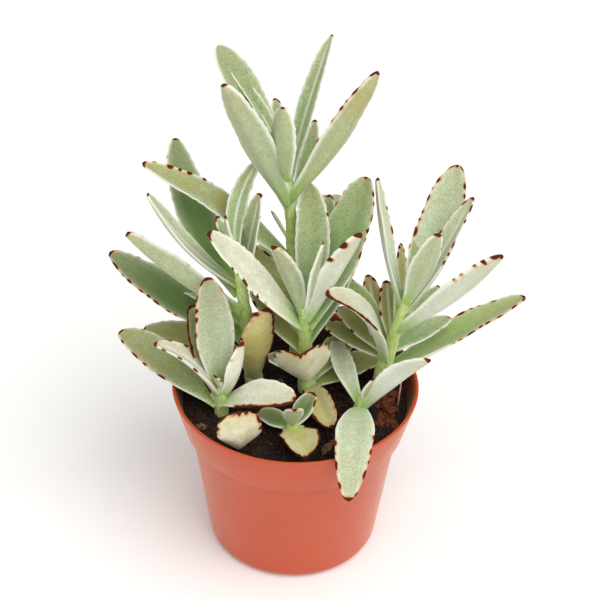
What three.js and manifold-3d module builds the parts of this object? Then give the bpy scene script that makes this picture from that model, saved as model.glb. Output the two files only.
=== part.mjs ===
// A potted kalanchoe (panda plant): eight felted leafy stems rooted in dark potting soil,
// in a terracotta-coloured plastic nursery pot. Millimetres, +Z up, the pot's underside on Z = 0,
// its axis on Z, the viewer's side at -Y.

import * as THREE from 'three';
import { mergeVertices } from 'three/addons/utils/BufferGeometryUtils.js';
import Module from 'manifold-3d';

// ---- driving dimensions -------------------------------------------------------------------------

const POT = {
  height: 81,
  rimRadius: 52.5,
  bandHeight: 20, // the thick band below the rim
  bandFootRadius: 47.3,
  shoulderRadius: 44.9, // the body just under the band
  footRadius: 37.6, // the body just above the bottom corner
  cornerHeight: 5.5,
  cornerInset: 0.7, // how far the rounded bottom corner has drawn in, at a share of its height
  cornerShare: 0.45,
  baseRadius: 35.2,
  wall: 1.5,
  floor: 2,
  drainHoles: 8,
  drainHoleRadius: 3.6,
  drainRingRadius: 24,
  drainHoleSides: 14,
  segments: 60,
};

const SOIL = {
  level: 72,
  relief: 1.1, // the surface rises and falls this much
  broadShare: 0.6, // of the relief in broad swells, the rest in crumbs
  wallGap: 0.3,
  segments: 32,
  rings: 5,
};

const STEM = {
  bottom: 60, // the cut foot of each stem, on the floor of its hole in the soil
  straightTo: 74, // a stem is upright up to here and leans above it
  leanPower: 1.2,
  sides: 8,
  ringSpacing: 14,
  holeGap: 0.3,
  holeSides: 16,
};

const LEAF = {
  thicknessShare: 0.24, // of the width
  maxThickness: 3.6,
  tipThickness: 0.42, // share of the thickness left at the tip
  edge: 0.9, // thickness of the margin
  channel: 0.14, // how far the middle of the upper face stands up, of the thickness
  baseWidth: 0.42, // share of the width where the leaf leaves the stem
  fullAt: 0.52, // where along its length it reaches the full width
  taperFrom: 0.42,
  taperPower: 2.4,
  tipPower: 0.55, // small for a blunt tip
  foldAtRoot: 0.35, // share of the fold where the leaf leaves the stem
  underReach: 0.86, // how far out the under side's corners lie
  smallStations: [0, 0.2, 0.42, 0.62, 0.8, 0.93],
  rootStations: [0, 0.13, 0.28, 0.43],
  teethFrom: 0.6,
  teethTo: 0.95,
  toothHeight: 0.45,
  toothSpacing: 5.6,
  toothedLength: 30, // leaves shorter than this have a plain margin
};

// Each stem: where its foot stands in the soil, where its growing tip ends, its radius at both ends.
// Each leaf: the height at which it leaves the stem, its heading (0 = +X, 90 = away from the viewer,
// 180 = -X), its rise above the horizon, its length and width, how far its middle bows down and
// sideways, how far the blade is rolled about its length and how far its two halves fold up. A
// tenth number, where there is one, is its own taper power: the larger, the broader its tip.
const STEMS = [
  {
    name: 'stem_tall', foot: [1, 29], crown: [-5, 23, 169], radii: [4.0, 1.7],
    leaves: [
      // height heading rise length width bow sway roll fold
      [155, 200, 65, 66, 15, 1, 0, 55, 20],
      [163, 142, 54, 64, 18.5, 0, 0.5, 0, 20, 4],
      [166, 141, 52, 51, 8, 0, 4, 0, 30],
      [167, 241, 83, 36, 12, 3, 0, 0, 18, 3.4],
      [168, 102, 35, 36, 8, 0, 0, 0, 20],
      [166, 63, 54, 62, 10, 0, -1.2, -15, 28],
      [158, 355, 61, 69, 13, 3, 0, -62, 20],
      [155, 71, 39, 38, 7.5, 0, 2, 0, 20],
      [123, 183, 39, 80, 13.5, -4.5, 1, -25, 22],
      [134, 195, 62, 20, 5, 0, 2, 0, 20],
      // the far side
      [150, 95, -14, 29, 10, -2, 0, 0, 22],
      [138, 60, -5, 44, 12, -3, 0, 0, 22],
      [112, 78, -5, 50, 14, -3, 0, 0, 20],
      [113, 125, -8, 42, 13, -3, 0, 0, 22],
      [98, 130, 0, 42, 13, -3, 0, 0, 20],
      [92, 40, 0, 40, 12, -2, 0, 0, 20],
      [85, 90, 5, 44, 14, -4, 0, 0, 20],
    ],
  },
  {
    name: 'stem_left', foot: [-18, 9], crown: [-25, 2, 143], radii: [3.8, 1.6],
    leaves: [
      [141, 73, 49, 42, 9.5, 0, -4.5, 0, 30],
      [128, 37, 77, 42, 12, 1, -1, 0, 25],
      [141, 174, 79, 22, 8, 1, 0, 20, 20],
      [141, 132, 50, 20, 6, 0, 0, 0, 20],
      [122, 121, 37, 74, 17.5, 0, -5.5, 0, 18],
      [128, 172, 47, 55, 11.5, 4.5, 0, 5, 26],
      [114, 172, 34, 59, 19.5, 2.5, 0, 54, 20],
      [99, 157, 20, 70, 18.5, 4, 0, -12, 18],
      [83, 165, 9, 50, 16, 0, 3, -10, 20],
      [76, 293, 73, 49, 16, 2, 2, 0, 16],
      // the far side
      [106, 138, -2, 44, 13, -3, 0, 0, 20],
      [90, 120, 5, 42, 13, -3, 0, 0, 20],
    ],
  },
  {
    name: 'stem_centre', foot: [5, 4], crown: [2.5, -1, 120], radii: [3.8, 1.6],
    leaves: [
      [110, 195, 53, 66, 16, 1, 0, -30, 20],
      [117, 88, 57.5, 54, 14.5, 0, 2.5, 0, 16, 3.2],
      [110, 53, 53, 67, 21.5, 0, 2.5, 0, 18, 3.2],
      [105, 77, 49, 60, 14, 0, 1, 0, 20],
      [117, 328, 78, 40, 8, 0, 0, 20, 28],
      [114, 3, 63, 48, 14.5, 0, 0, -55, 22],
      [116, 200, 70, 40, 11, -2, 0, 45, 22],
      [107, 125, 27, 44, 14, 0, -1, 0, 20],
      [83, 262, 51, 35, 28, 3, 0, 15, 38, 4],
      [78, 51, 15, 44, 14, 0, 0, 0, 22],
      [76, 27, 4, 38, 16, -1, 0, 0, 18],
      [83, 188, 30, 20, 12, 0, 0, 0, 20],
      [77, 290, 0, 31, 12.5, -2, 0, 18, 30, 4.5],
      [95, 135, 25, 37, 14, 0, 0, 0, 20],
      [100, 47, 47, 47, 13, 0, 0, 0, 20],
    ],
  },
  {
    name: 'stem_front_left', foot: [-31, -11], crown: [-31, -12, 86], radii: [3.0, 1.8],
    leaves: [
      [83, 115, 75, 52.5, 17.5, 0, 0, 0, 16],
      [77, 149, 18, 55, 19, -1, 0, -5, 16],
      [82, 179, 44, 38, 12, -4, 0, 0, 25],
      [85, 99, 19, 20, 6, 0, 0, 0, 30],
      [86, 230, 68, 10, 5, 0, 0, 0, 20],
      [84, 20, 70, 26, 13, 2, 0, -45, 22],
      [78, 331, 25, 39.5, 15, -3.5, 0, 20, 18, 3],
      [78, 131, 63, 44, 16, 0, 0, 0, 20],
    ],
  },
  {
    name: 'stem_front_rim', foot: [-23.3, -32], crown: [-24, -36, 79], radii: [1.9, 1.3],
    leaves: [
      [75.2, 282, 78, 20, 18.5, 4, 0, 0, 8, 6],
    ],
  },
  {
    name: 'stem_front_centre', foot: [-1, -25], crown: [-1, -25, 80], radii: [3.0, 1.8],
    leaves: [
      [77, 50, 35, 17, 10, 0, 0, 0, 22],
      [79, 277, 62, 15.5, 9, 0, 0, 0, 20, 3.5],
      [77, 286, 1, 20.5, 20, 0, 0, 0, 40, 6],
      [77, 151, 2, 17, 11, 0, 0, 0, 20],
    ],
  },
  {
    name: 'stem_front_right', foot: [27, -12], crown: [28, -12, 82], radii: [3.0, 1.8],
    leaves: [
      [79, 107, 11, 37, 10, -3, -2, 0, 22],
      [81, 320, 70, 16, 7, 0, 0, 0, 22],
      [78, 345, 49, 42, 14.5, -1.5, 0, -55, 22],
      [77, 264, -6, 52, 16, -12.5, 0, 0, 12],
    ],
  },
  {
    name: 'stem_right', foot: [36, 6], crown: [45, -1, 127], radii: [3.6, 1.6],
    leaves: [
      [122, 111, 51, 54, 11, 2.5, 1.5, 50, 25],
      [119, 55, 56, 64, 19, 0, 2.5, 0, 15, 3],
      [119, 28, 58, 56, 12, 0, 2, 0, 28],
      [124, 344, 73, 38, 12, 1, 0, -60, 20],
      [126, 79, 46, 31, 7, 0, 1, 0, 20],
      [109, 347, 48, 60, 13, 2.5, 0, -62, 20],
      [84, 27, 14, 72, 20, 1, 0, -15, 22],
      [96, 41, 1, 36, 12, 0, 0, 0, 20],
      [108, 55, 6, 34, 7, 0, 0, 0, 20],
      [109, 86, 29, 40, 8, 0, 0, 50, 20],
      [101, 97, 38, 27, 9, 0, 0, 0, 25],
      [88, 104, 38, 40, 11, 0, 0, 0, 25],
      [97, 132, 24, 42, 12, -5, 0, 0, 20],
      [92, 142, 3, 34, 13, 0, 0, 0, 20],
      [94, 128, 6, 35, 13, -1, 0, 0, 20],
      [90, 207, 56, 53.5, 17, -7, 0, -16, 15],
    ],
  },
];

const MATERIALS = {
  pot: new THREE.MeshStandardMaterial({ color: 0xc46242, roughness: 0.55, metalness: 0 }),
  soil: new THREE.MeshStandardMaterial({ color: 0x2b1d18, roughness: 1, metalness: 0 }),
  leaf: new THREE.MeshStandardMaterial({ color: 0xa9c096, roughness: 0.95, metalness: 0 }),
};

// ---- solids -------------------------------------------------------------------------------------

const wasm = await Module();
wasm.setup();

/** A closed geometry as a solid that can be joined and cut. */
function solidOf(geometry) {
  const bare = geometry.clone();
  bare.deleteAttribute('normal');
  bare.deleteAttribute('uv');
  const merged = mergeVertices(bare, 1e-4);
  return new wasm.Manifold(new wasm.Mesh({
    numProp: 3,
    vertProperties: new Float32Array(merged.attributes.position.array),
    triVerts: new Uint32Array(merged.index.array),
  }));
}

/** A solid's surface as a geometry. */
function geometryOf(solid) {
  const mesh = solid.getMesh();
  const geometry = new THREE.BufferGeometry();
  geometry.setAttribute('position', new THREE.BufferAttribute(mesh.vertProperties, 3));
  geometry.setIndex(new THREE.BufferAttribute(mesh.triVerts, 1));
  geometry.computeVertexNormals();
  return geometry;
}

/** A closed solid through rings of equal point counts, each end drawn to a point. */
function loft(rings, start, end) {
  const count = rings[0].length;
  const points = [start, ...rings.flat(), end];
  const last = points.length - 1;
  const index = [];
  for (let i = 0; i < count; i += 1) {
    const next = (i + 1) % count;
    index.push(0, 1 + next, 1 + i);
    for (let r = 0; r + 1 < rings.length; r += 1) {
      const low = 1 + r * count;
      const high = low + count;
      index.push(low + i, low + next, high + next);
      index.push(low + i, high + next, high + i);
    }
    index.push(last, last - count + i, last - count + next);
  }
  const geometry = new THREE.BufferGeometry().setFromPoints(points);
  geometry.setIndex(index);
  return solidOf(geometry);
}

/** A round ring of points about a centre, level with the ground. */
function levelRing(centre, radius, sides) {
  return Array.from({ length: sides }, (_, i) => {
    const angle = (2 * Math.PI * i) / sides;
    return new THREE.Vector3(radius * Math.cos(angle), radius * Math.sin(angle), 0).add(centre);
  });
}

/** An upright cylinder from one height to another. */
function uprightCylinder(x, y, radius, bottom, top, sides) {
  const geometry = new THREE.CylinderGeometry(radius, radius, top - bottom, sides);
  geometry.rotateX(Math.PI / 2);
  geometry.translate(x, y, (bottom + top) / 2);
  return solidOf(geometry);
}

// ---- pot ----------------------------------------------------------------------------------------

const bandBottom = POT.height - POT.bandHeight;

/** The inside of the pot as [radius, height] points, from the floor's middle up to the rim. */
function potInside(gap) {
  const inset = POT.wall + gap;
  return [
    [0, POT.floor],
    [POT.baseRadius - inset, POT.floor],
    [POT.footRadius - inset, POT.cornerHeight],
    [POT.shoulderRadius - inset, bandBottom],
    [POT.bandFootRadius - inset, bandBottom + POT.wall],
    [POT.rimRadius - inset, POT.height],
  ];
}

function buildPot() {
  const outside = [
    [0, 0],
    [POT.baseRadius, 0],
    [POT.footRadius - POT.cornerInset, POT.cornerHeight * POT.cornerShare],
    [POT.footRadius, POT.cornerHeight],
    [POT.shoulderRadius, bandBottom],
    [POT.bandFootRadius, bandBottom],
    [POT.rimRadius, POT.height],
  ];
  const profile = [...outside, ...potInside(0).reverse()].map(([r, z]) => new THREE.Vector2(r, z));
  const geometry = new THREE.LatheGeometry(profile, POT.segments);
  geometry.rotateX(Math.PI / 2);
  let pot = solidOf(geometry);
  for (let i = 0; i < POT.drainHoles; i += 1) {
    const angle = (2 * Math.PI * (i + 0.5)) / POT.drainHoles;
    const x = POT.drainRingRadius * Math.cos(angle);
    const y = POT.drainRingRadius * Math.sin(angle);
    pot = pot.subtract(
      uprightCylinder(x, y, POT.drainHoleRadius, -POT.floor, 2 * POT.floor, POT.drainHoleSides),
    );
  }
  return pot;
}

// ---- soil ---------------------------------------------------------------------------------------

/** How far the soil's surface stands above or below its level at a place. */
function soilRelief(x, y) {
  const broad = Math.sin(x * 0.13 + 1.1) * Math.cos(y * 0.11 - 0.4);
  const crumbs = Math.sin(x * 0.41 + y * 0.23) * Math.sin(y * 0.37 - x * 0.19 + 0.8);
  return SOIL.relief * THREE.MathUtils.lerp(crumbs, broad, SOIL.broadShare);
}

function buildSoil() {
  const inside = potInside(SOIL.wallGap);
  const [lowRadius, lowHeight] = inside[4];
  const [highRadius, highHeight] = inside[5];
  const slope = (highRadius - lowRadius) / (highHeight - lowHeight);
  const edgeRadius = lowRadius + slope * (SOIL.level - SOIL.relief - lowHeight);
  const rings = inside.slice(1, 5).map(
    ([r, z]) => levelRing(new THREE.Vector3(0, 0, z), r, SOIL.segments),
  );
  for (let k = 0; k < SOIL.rings; k += 1) {
    const radius = edgeRadius * (1 - k / SOIL.rings);
    const ring = levelRing(new THREE.Vector3(0, 0, SOIL.level), radius, SOIL.segments);
    ring.forEach((p) => p.setZ(p.z + (k === 0 ? -SOIL.relief : soilRelief(p.x, p.y))));
    rings.push(ring);
  }
  const bottom = new THREE.Vector3(0, 0, POT.floor);
  const top = new THREE.Vector3(0, 0, SOIL.level + soilRelief(0, 0));
  let soil = loft(rings, bottom, top);
  for (const { foot: [x, y], radii: [radius] } of STEMS) {
    const holeRadius = radius + STEM.holeGap;
    soil = soil.subtract(
      uprightCylinder(x, y, holeRadius, STEM.bottom, POT.height, STEM.holeSides),
    );
  }
  return soil;
}

// ---- stems and leaves ---------------------------------------------------------------------------

const radians = THREE.MathUtils.degToRad;

/** The middle of a stem at a height. */
function stemCentre({ foot, crown }, height) {
  const share = Math.max(0, (height - STEM.straightTo) / (crown[2] - STEM.straightTo));
  const lean = share ** STEM.leanPower;
  return new THREE.Vector3(
    foot[0] + (crown[0] - foot[0]) * lean,
    foot[1] + (crown[1] - foot[1]) * lean,
    height,
  );
}

/** The bare stem, upright in the soil, tapering to a rounded growing tip. */
function buildStem(stem) {
  const [footRadius, crownRadius] = stem.radii;
  const top = stem.crown[2];
  const steps = Math.max(2, Math.round((top - STEM.straightTo) / STEM.ringSpacing));
  const rings = [levelRing(stemCentre(stem, STEM.bottom), footRadius, STEM.sides)];
  for (let i = 0; i <= steps; i += 1) {
    const share = i / steps;
    const height = THREE.MathUtils.lerp(STEM.straightTo, top, share);
    const radius = THREE.MathUtils.lerp(footRadius, crownRadius, share);
    rings.push(levelRing(stemCentre(stem, height), radius, STEM.sides));
  }
  const tip = stemCentre(stem, top).add(new THREE.Vector3(0, 0, crownRadius));
  return loft(rings, stemCentre(stem, STEM.bottom), tip);
}

/** A leaf's half width at a share of its length, for a full half width of 1. */
function outline(share, taperPower) {
  const opening = THREE.MathUtils.smoothstep(share, 0, LEAF.fullAt);
  const body = LEAF.baseWidth + (1 - LEAF.baseWidth) * opening;
  const taper = Math.max(0, (share - LEAF.taperFrom) / (1 - LEAF.taperFrom));
  return body * (1 - taper ** taperPower) ** LEAF.tipPower;
}

/** The places along a leaf where its section is drawn, each with the tooth that stands out there. */
function stations(length) {
  if (length < LEAF.toothedLength) {
    return LEAF.smallStations.map((share) => ({ share, tooth: 0 }));
  }
  const list = LEAF.rootStations.map((share) => ({ share, tooth: 0 }));
  const span = LEAF.teethTo - LEAF.teethFrom;
  const teeth = Math.max(2, Math.round((span * length) / LEAF.toothSpacing));
  for (let i = 0; i < teeth; i += 1) {
    list.push({ share: LEAF.teethFrom + (span * i) / teeth, tooth: 0 });
    list.push({ share: LEAF.teethFrom + (span * (i + 0.5)) / teeth, tooth: LEAF.toothHeight });
  }
  list.push({ share: LEAF.teethTo, tooth: 0 });
  return list;
}

/** One thick felted leaf: channelled above, keeled below, with blunt teeth towards the tip. */
function buildLeaf(stem, row) {
  const [height, heading, rise, length, width, bow, sway, roll, fold, taperPower] = row;
  const base = stemCentre(stem, height);
  const ahead = new THREE.Vector3(Math.cos(radians(heading)), Math.sin(radians(heading)), 0);
  const along = ahead.clone().multiplyScalar(Math.cos(radians(rise)));
  along.z = Math.sin(radians(rise));
  const level = new THREE.Vector3(ahead.y, -ahead.x, 0);
  const side = level.clone().applyAxisAngle(along, radians(roll));
  const up = new THREE.Vector3().crossVectors(side, along);
  const thickness = Math.min(LEAF.maxThickness, width * LEAF.thicknessShare);

  const rings = stations(length).map(({ share, tooth }) => {
    const arch = 4 * share * (1 - share);
    const steer = 4 * (1 - 2 * share);
    const centre = base.clone()
      .addScaledVector(along, length * share)
      .addScaledVector(up, -bow * arch)
      .addScaledVector(side, sway * arch);
    const tangent = along.clone().multiplyScalar(length)
      .addScaledVector(up, -bow * steer)
      .addScaledVector(side, sway * steer)
      .normalize();
    const face = up.clone().addScaledVector(tangent, -up.dot(tangent)).normalize();
    const across = new THREE.Vector3().crossVectors(tangent, face);
    const half = (width / 2) * outline(share, taperPower ?? LEAF.taperPower) + tooth;
    const depth = thickness * (1 - (1 - LEAF.tipThickness) * share ** 2);
    const tilt = radians(fold) * Math.min(1, LEAF.foldAtRoot + share);
    const at = (x, z) => centre.clone().addScaledVector(across, x).addScaledVector(face, z);
    const reach = half * Math.cos(tilt);
    const lift = half * Math.sin(tilt);
    return [
      at(-reach, lift),
      at(0, depth * LEAF.channel),
      at(reach, lift),
      at(reach * LEAF.underReach, lift * LEAF.underReach - LEAF.edge),
      at(0, -depth),
      at(-reach * LEAF.underReach, lift * LEAF.underReach - LEAF.edge),
    ];
  });
  const tip = base.clone().addScaledVector(along, length);
  return loft(rings, base, tip);
}

function buildLeafyStem(stem) {
  const leaves = stem.leaves.map((leaf) => buildLeaf(stem, leaf));
  return leaves.reduce((whole, leaf) => whole.add(leaf), buildStem(stem));
}

// ---- the object ---------------------------------------------------------------------------------

const plant = new THREE.Group();

function addPiece(name, solid, material) {
  const mesh = new THREE.Mesh(geometryOf(solid), material);
  mesh.name = name;
  plant.add(mesh);
}

addPiece('pot', buildPot(), MATERIALS.pot);
addPiece('soil', buildSoil(), MATERIALS.soil);
for (const stem of STEMS) {
  addPiece(stem.name, buildLeafyStem(stem), MATERIALS.leaf.clone());
}

export default plant;
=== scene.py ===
"""A potted panda plant: felted leafy stems in dark potting soil, in a terracotta-coloured nursery pot.

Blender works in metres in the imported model's frame: +Z up, the pot's underside at Z = 0, its axis on
Z and the viewer at -Y. The sizes in the classes below are in millimetres, angles in degrees.
"""

import logging
import math
import random
from dataclasses import dataclass
from enum import Enum

import bmesh
import bpy
import numpy as np
from bmesh.types import BMesh, BMVert
from bpy.types import Material, Mesh, Node, NodeSocket, NodeTree
from mathutils import Matrix, Vector, noise


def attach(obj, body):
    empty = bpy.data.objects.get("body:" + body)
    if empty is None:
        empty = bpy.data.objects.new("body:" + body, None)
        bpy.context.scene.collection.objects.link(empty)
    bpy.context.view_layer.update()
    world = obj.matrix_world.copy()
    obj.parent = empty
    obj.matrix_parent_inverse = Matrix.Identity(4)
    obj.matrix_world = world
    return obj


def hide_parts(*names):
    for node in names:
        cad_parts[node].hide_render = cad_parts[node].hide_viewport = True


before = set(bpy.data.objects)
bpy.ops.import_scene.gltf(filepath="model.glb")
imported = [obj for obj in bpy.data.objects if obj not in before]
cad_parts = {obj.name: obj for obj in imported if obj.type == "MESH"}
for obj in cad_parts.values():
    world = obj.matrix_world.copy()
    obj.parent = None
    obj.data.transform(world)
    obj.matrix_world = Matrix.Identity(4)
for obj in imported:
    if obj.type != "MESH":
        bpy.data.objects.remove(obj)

MM = 0.001
log = logging.getLogger("potted_plant")

Values = dict[str | int, object]
Pair = tuple[float, float]
Triple = tuple[float, float, float]

SHARE, FIRST, SECOND = 0, 6, 7  # a Mix node's inputs when it mixes colours: their names aren't unique
ANY_TURN = (0.0, 6.3)  # in radians


# ---- shared tools -------------------------------------------------------------------------------


def linear(code: str) -> tuple[float, float, float, float]:
    """Turns an sRGB colour into Blender's linear one.

    Args:
        code: The colour as six hex digits, such as "c46242".

    Returns:
        Linear red, green and blue, and an alpha of 1.
    """
    channels = [int(code[i:i + 2], 16) / 255 for i in (0, 2, 4)]
    red, green, blue = (c / 12.92 if c <= 0.04045 else ((c + 0.055) / 1.055) ** 2.4 for c in channels)
    return red, green, blue, 1.0


def add_node(tree: NodeTree, kind: str, inputs: Values | None = None, **settings: object) -> Node:
    """Adds a shader node with its settings, input values and links.

    Args:
        tree: The node tree it joins.
        kind: The node's type, without the word that every type starts with.
        inputs: For each input, by name or number, a value, the output socket that feeds it, or the
            node whose first output in use does.
        **settings: The node's own properties.

    Returns:
        The new node.
    """
    made = tree.nodes.new(f"ShaderNode{kind}")
    for name, value in settings.items():
        setattr(made, name, value)
    for name, value in (inputs or {}).items():
        source = next(s for s in value.outputs if s.enabled) if isinstance(value, Node) else value
        if isinstance(source, NodeSocket):
            tree.links.new(source, made.inputs[name])
        else:
            made.inputs[name].default_value = source
    return made


def smooth_step(values: np.ndarray, low: float, high: float) -> np.ndarray:
    """Rises smoothly from 0 at low to 1 at high.

    Args:
        values: Where to read it.
        low: Where it starts to rise.
        high: Where it has risen.

    Returns:
        The value at each place.
    """
    share = np.clip((values - low) / (high - low), 0.0, 1.0)
    return share * share * (3.0 - 2.0 * share)


def normalised(vectors: np.ndarray) -> np.ndarray:
    """Scales each row to a length of 1."""
    return vectors / np.linalg.norm(vectors, axis=-1, keepdims=True)


def shift_mm(x: float, y: float, z: float) -> Matrix:
    """The move to a place given in millimetres."""
    return Matrix.Translation(Vector((x, y, z)) * MM)


def finish_mesh(bm: BMesh, name: str, smooth: bool = True) -> Mesh:
    """Turns a bmesh into a mesh.

    Args:
        bm: The bmesh, which is freed.
        name: The mesh's name.
        smooth: Whether its faces are shaded smooth.

    Returns:
        The mesh.
    """
    mesh = bpy.data.meshes.new(name)
    for face in bm.faces:
        face.smooth = smooth
    bm.to_mesh(mesh)
    bm.free()
    return mesh


def spin_section(section: list[Pair], steps: int) -> BMesh:
    """Turns a section about the upright axis.

    Args:
        section: Radius and height of each of its corners.
        steps: How many faces go round.

    Returns:
        The spun surface.
    """
    bm = bmesh.new()
    verts = [bm.verts.new((radius * MM, 0.0, height * MM)) for radius, height in section]
    edges = [bm.edges.new(pair) for pair in zip(verts, verts[1:])]
    bmesh.ops.spin(bm, geom=verts + edges, axis=(0, 0, 1), cent=(0, 0, 0), angle=2 * math.pi,
                   steps=steps, use_merge=True, use_duplicate=False)
    bmesh.ops.remove_doubles(bm, verts=bm.verts, dist=1e-6)
    return bm


def spike(name: str, sides: int, foot_radius: float, tip_radius: float, middle: float) -> Mesh:
    """A thin spike along Z, 1 mm long, all of triangles and closed at both ends.

    Args:
        name: The mesh's name.
        sides: How many sides it has.
        foot_radius: Its radius at the foot.
        tip_radius: Its radius at the tip.
        middle: The height of its middle.

    Returns:
        Its mesh.
    """
    bm = bmesh.new()
    bmesh.ops.create_cone(bm, cap_ends=True, cap_tris=True, segments=sides, radius1=foot_radius * MM,
                          radius2=tip_radius * MM, depth=MM, matrix=shift_mm(0.0, 0.0, middle))
    bmesh.ops.remove_doubles(bm, verts=bm.verts, dist=1e-6)
    bmesh.ops.triangulate(bm, faces=bm.faces)
    return finish_mesh(bm, name)


def add_lump(bm: BMesh, subdivisions: int, rugged: Triple, x: float, y: float, placing: Matrix) -> None:
    """Adds a rugged lump.

    Args:
        bm: The bmesh it joins.
        subdivisions: How finely it is divided.
        rugged: How far its surface goes in and out, how often, and how soft its finest detail is.
        x: Its X, which with its Y sets its own pattern.
        y: Its Y.
        placing: Its half sizes, turn and place.
    """
    depth, frequency, softness = rugged
    made = bmesh.ops.create_icosphere(bm, subdivisions=subdivisions, radius=1.0)
    for vert in made["verts"]:
        pattern_at = vert.co * frequency + Vector((x, y, 0.0))
        vert.co *= 1.0 + depth * noise.fractal(pattern_at, softness, 2.0, 5)
    bmesh.ops.transform(bm, matrix=placing, verts=made["verts"])


def scattered_copies(name: str, template: Mesh, matrices: np.ndarray) -> Mesh:
    """Repeats one small closed shape many times in one mesh.

    Args:
        name: The mesh's name.
        template: The shape, all of triangles.
        matrices: One 4 by 4 placement for each copy.

    Returns:
        The mesh of all the copies.
    """
    corners = np.array([tuple(v.co) + (1.0,) for v in template.vertices])
    faces = np.array([tuple(p.vertices) for p in template.polygons])
    placed = np.einsum("nij,vj->nvi", matrices, corners)[:, :, :3]
    shifts = np.arange(len(matrices))[:, None, None] * len(corners)
    mesh = bpy.data.meshes.new(name)
    mesh.from_pydata(placed.reshape(-1, 3).tolist(), [], (faces[None] + shifts).reshape(-1, 3).tolist())
    mesh.update()
    return mesh


def place_piece(mesh: Mesh, materials: list[Material], stands_for: str | None = None) -> None:
    """Puts a finished mesh into the scene as a piece of the object.

    Args:
        mesh: The mesh, with its place in its vertices.
        materials: Its materials, in the order of its faces' material numbers.
        stands_for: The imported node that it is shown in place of.
    """
    piece = bpy.data.objects.new(mesh.name, mesh)
    bpy.context.scene.collection.objects.link(piece)
    for material in materials:
        mesh.materials.append(material)
    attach(piece, "root")
    if stands_for is not None:
        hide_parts(stands_for)
    log.info("piece %s: %d faces", piece.name, len(mesh.polygons))


# ---- finishes -----------------------------------------------------------------------------------


class Finish:
    """A procedural material laid out by its piece's own coordinates."""

    title: str

    def shade(self, tree: NodeTree, place: NodeSocket) -> Values:
        """Builds the material's own nodes.

        Args:
            tree: The material's node tree.
            place: Each point's place on the piece.

        Returns:
            The inputs of its shader.
        """
        raise NotImplementedError

    def material(self) -> Material:
        """Builds the material."""
        made = bpy.data.materials.new(self.title)
        made.use_nodes = True
        tree = made.node_tree
        tree.nodes.clear()
        place = add_node(tree, "TexCoord").outputs["Object"]
        shader = add_node(tree, "BsdfPrincipled", self.shade(tree, place))
        add_node(tree, "OutputMaterial", {"Surface": shader})
        return made


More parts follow.
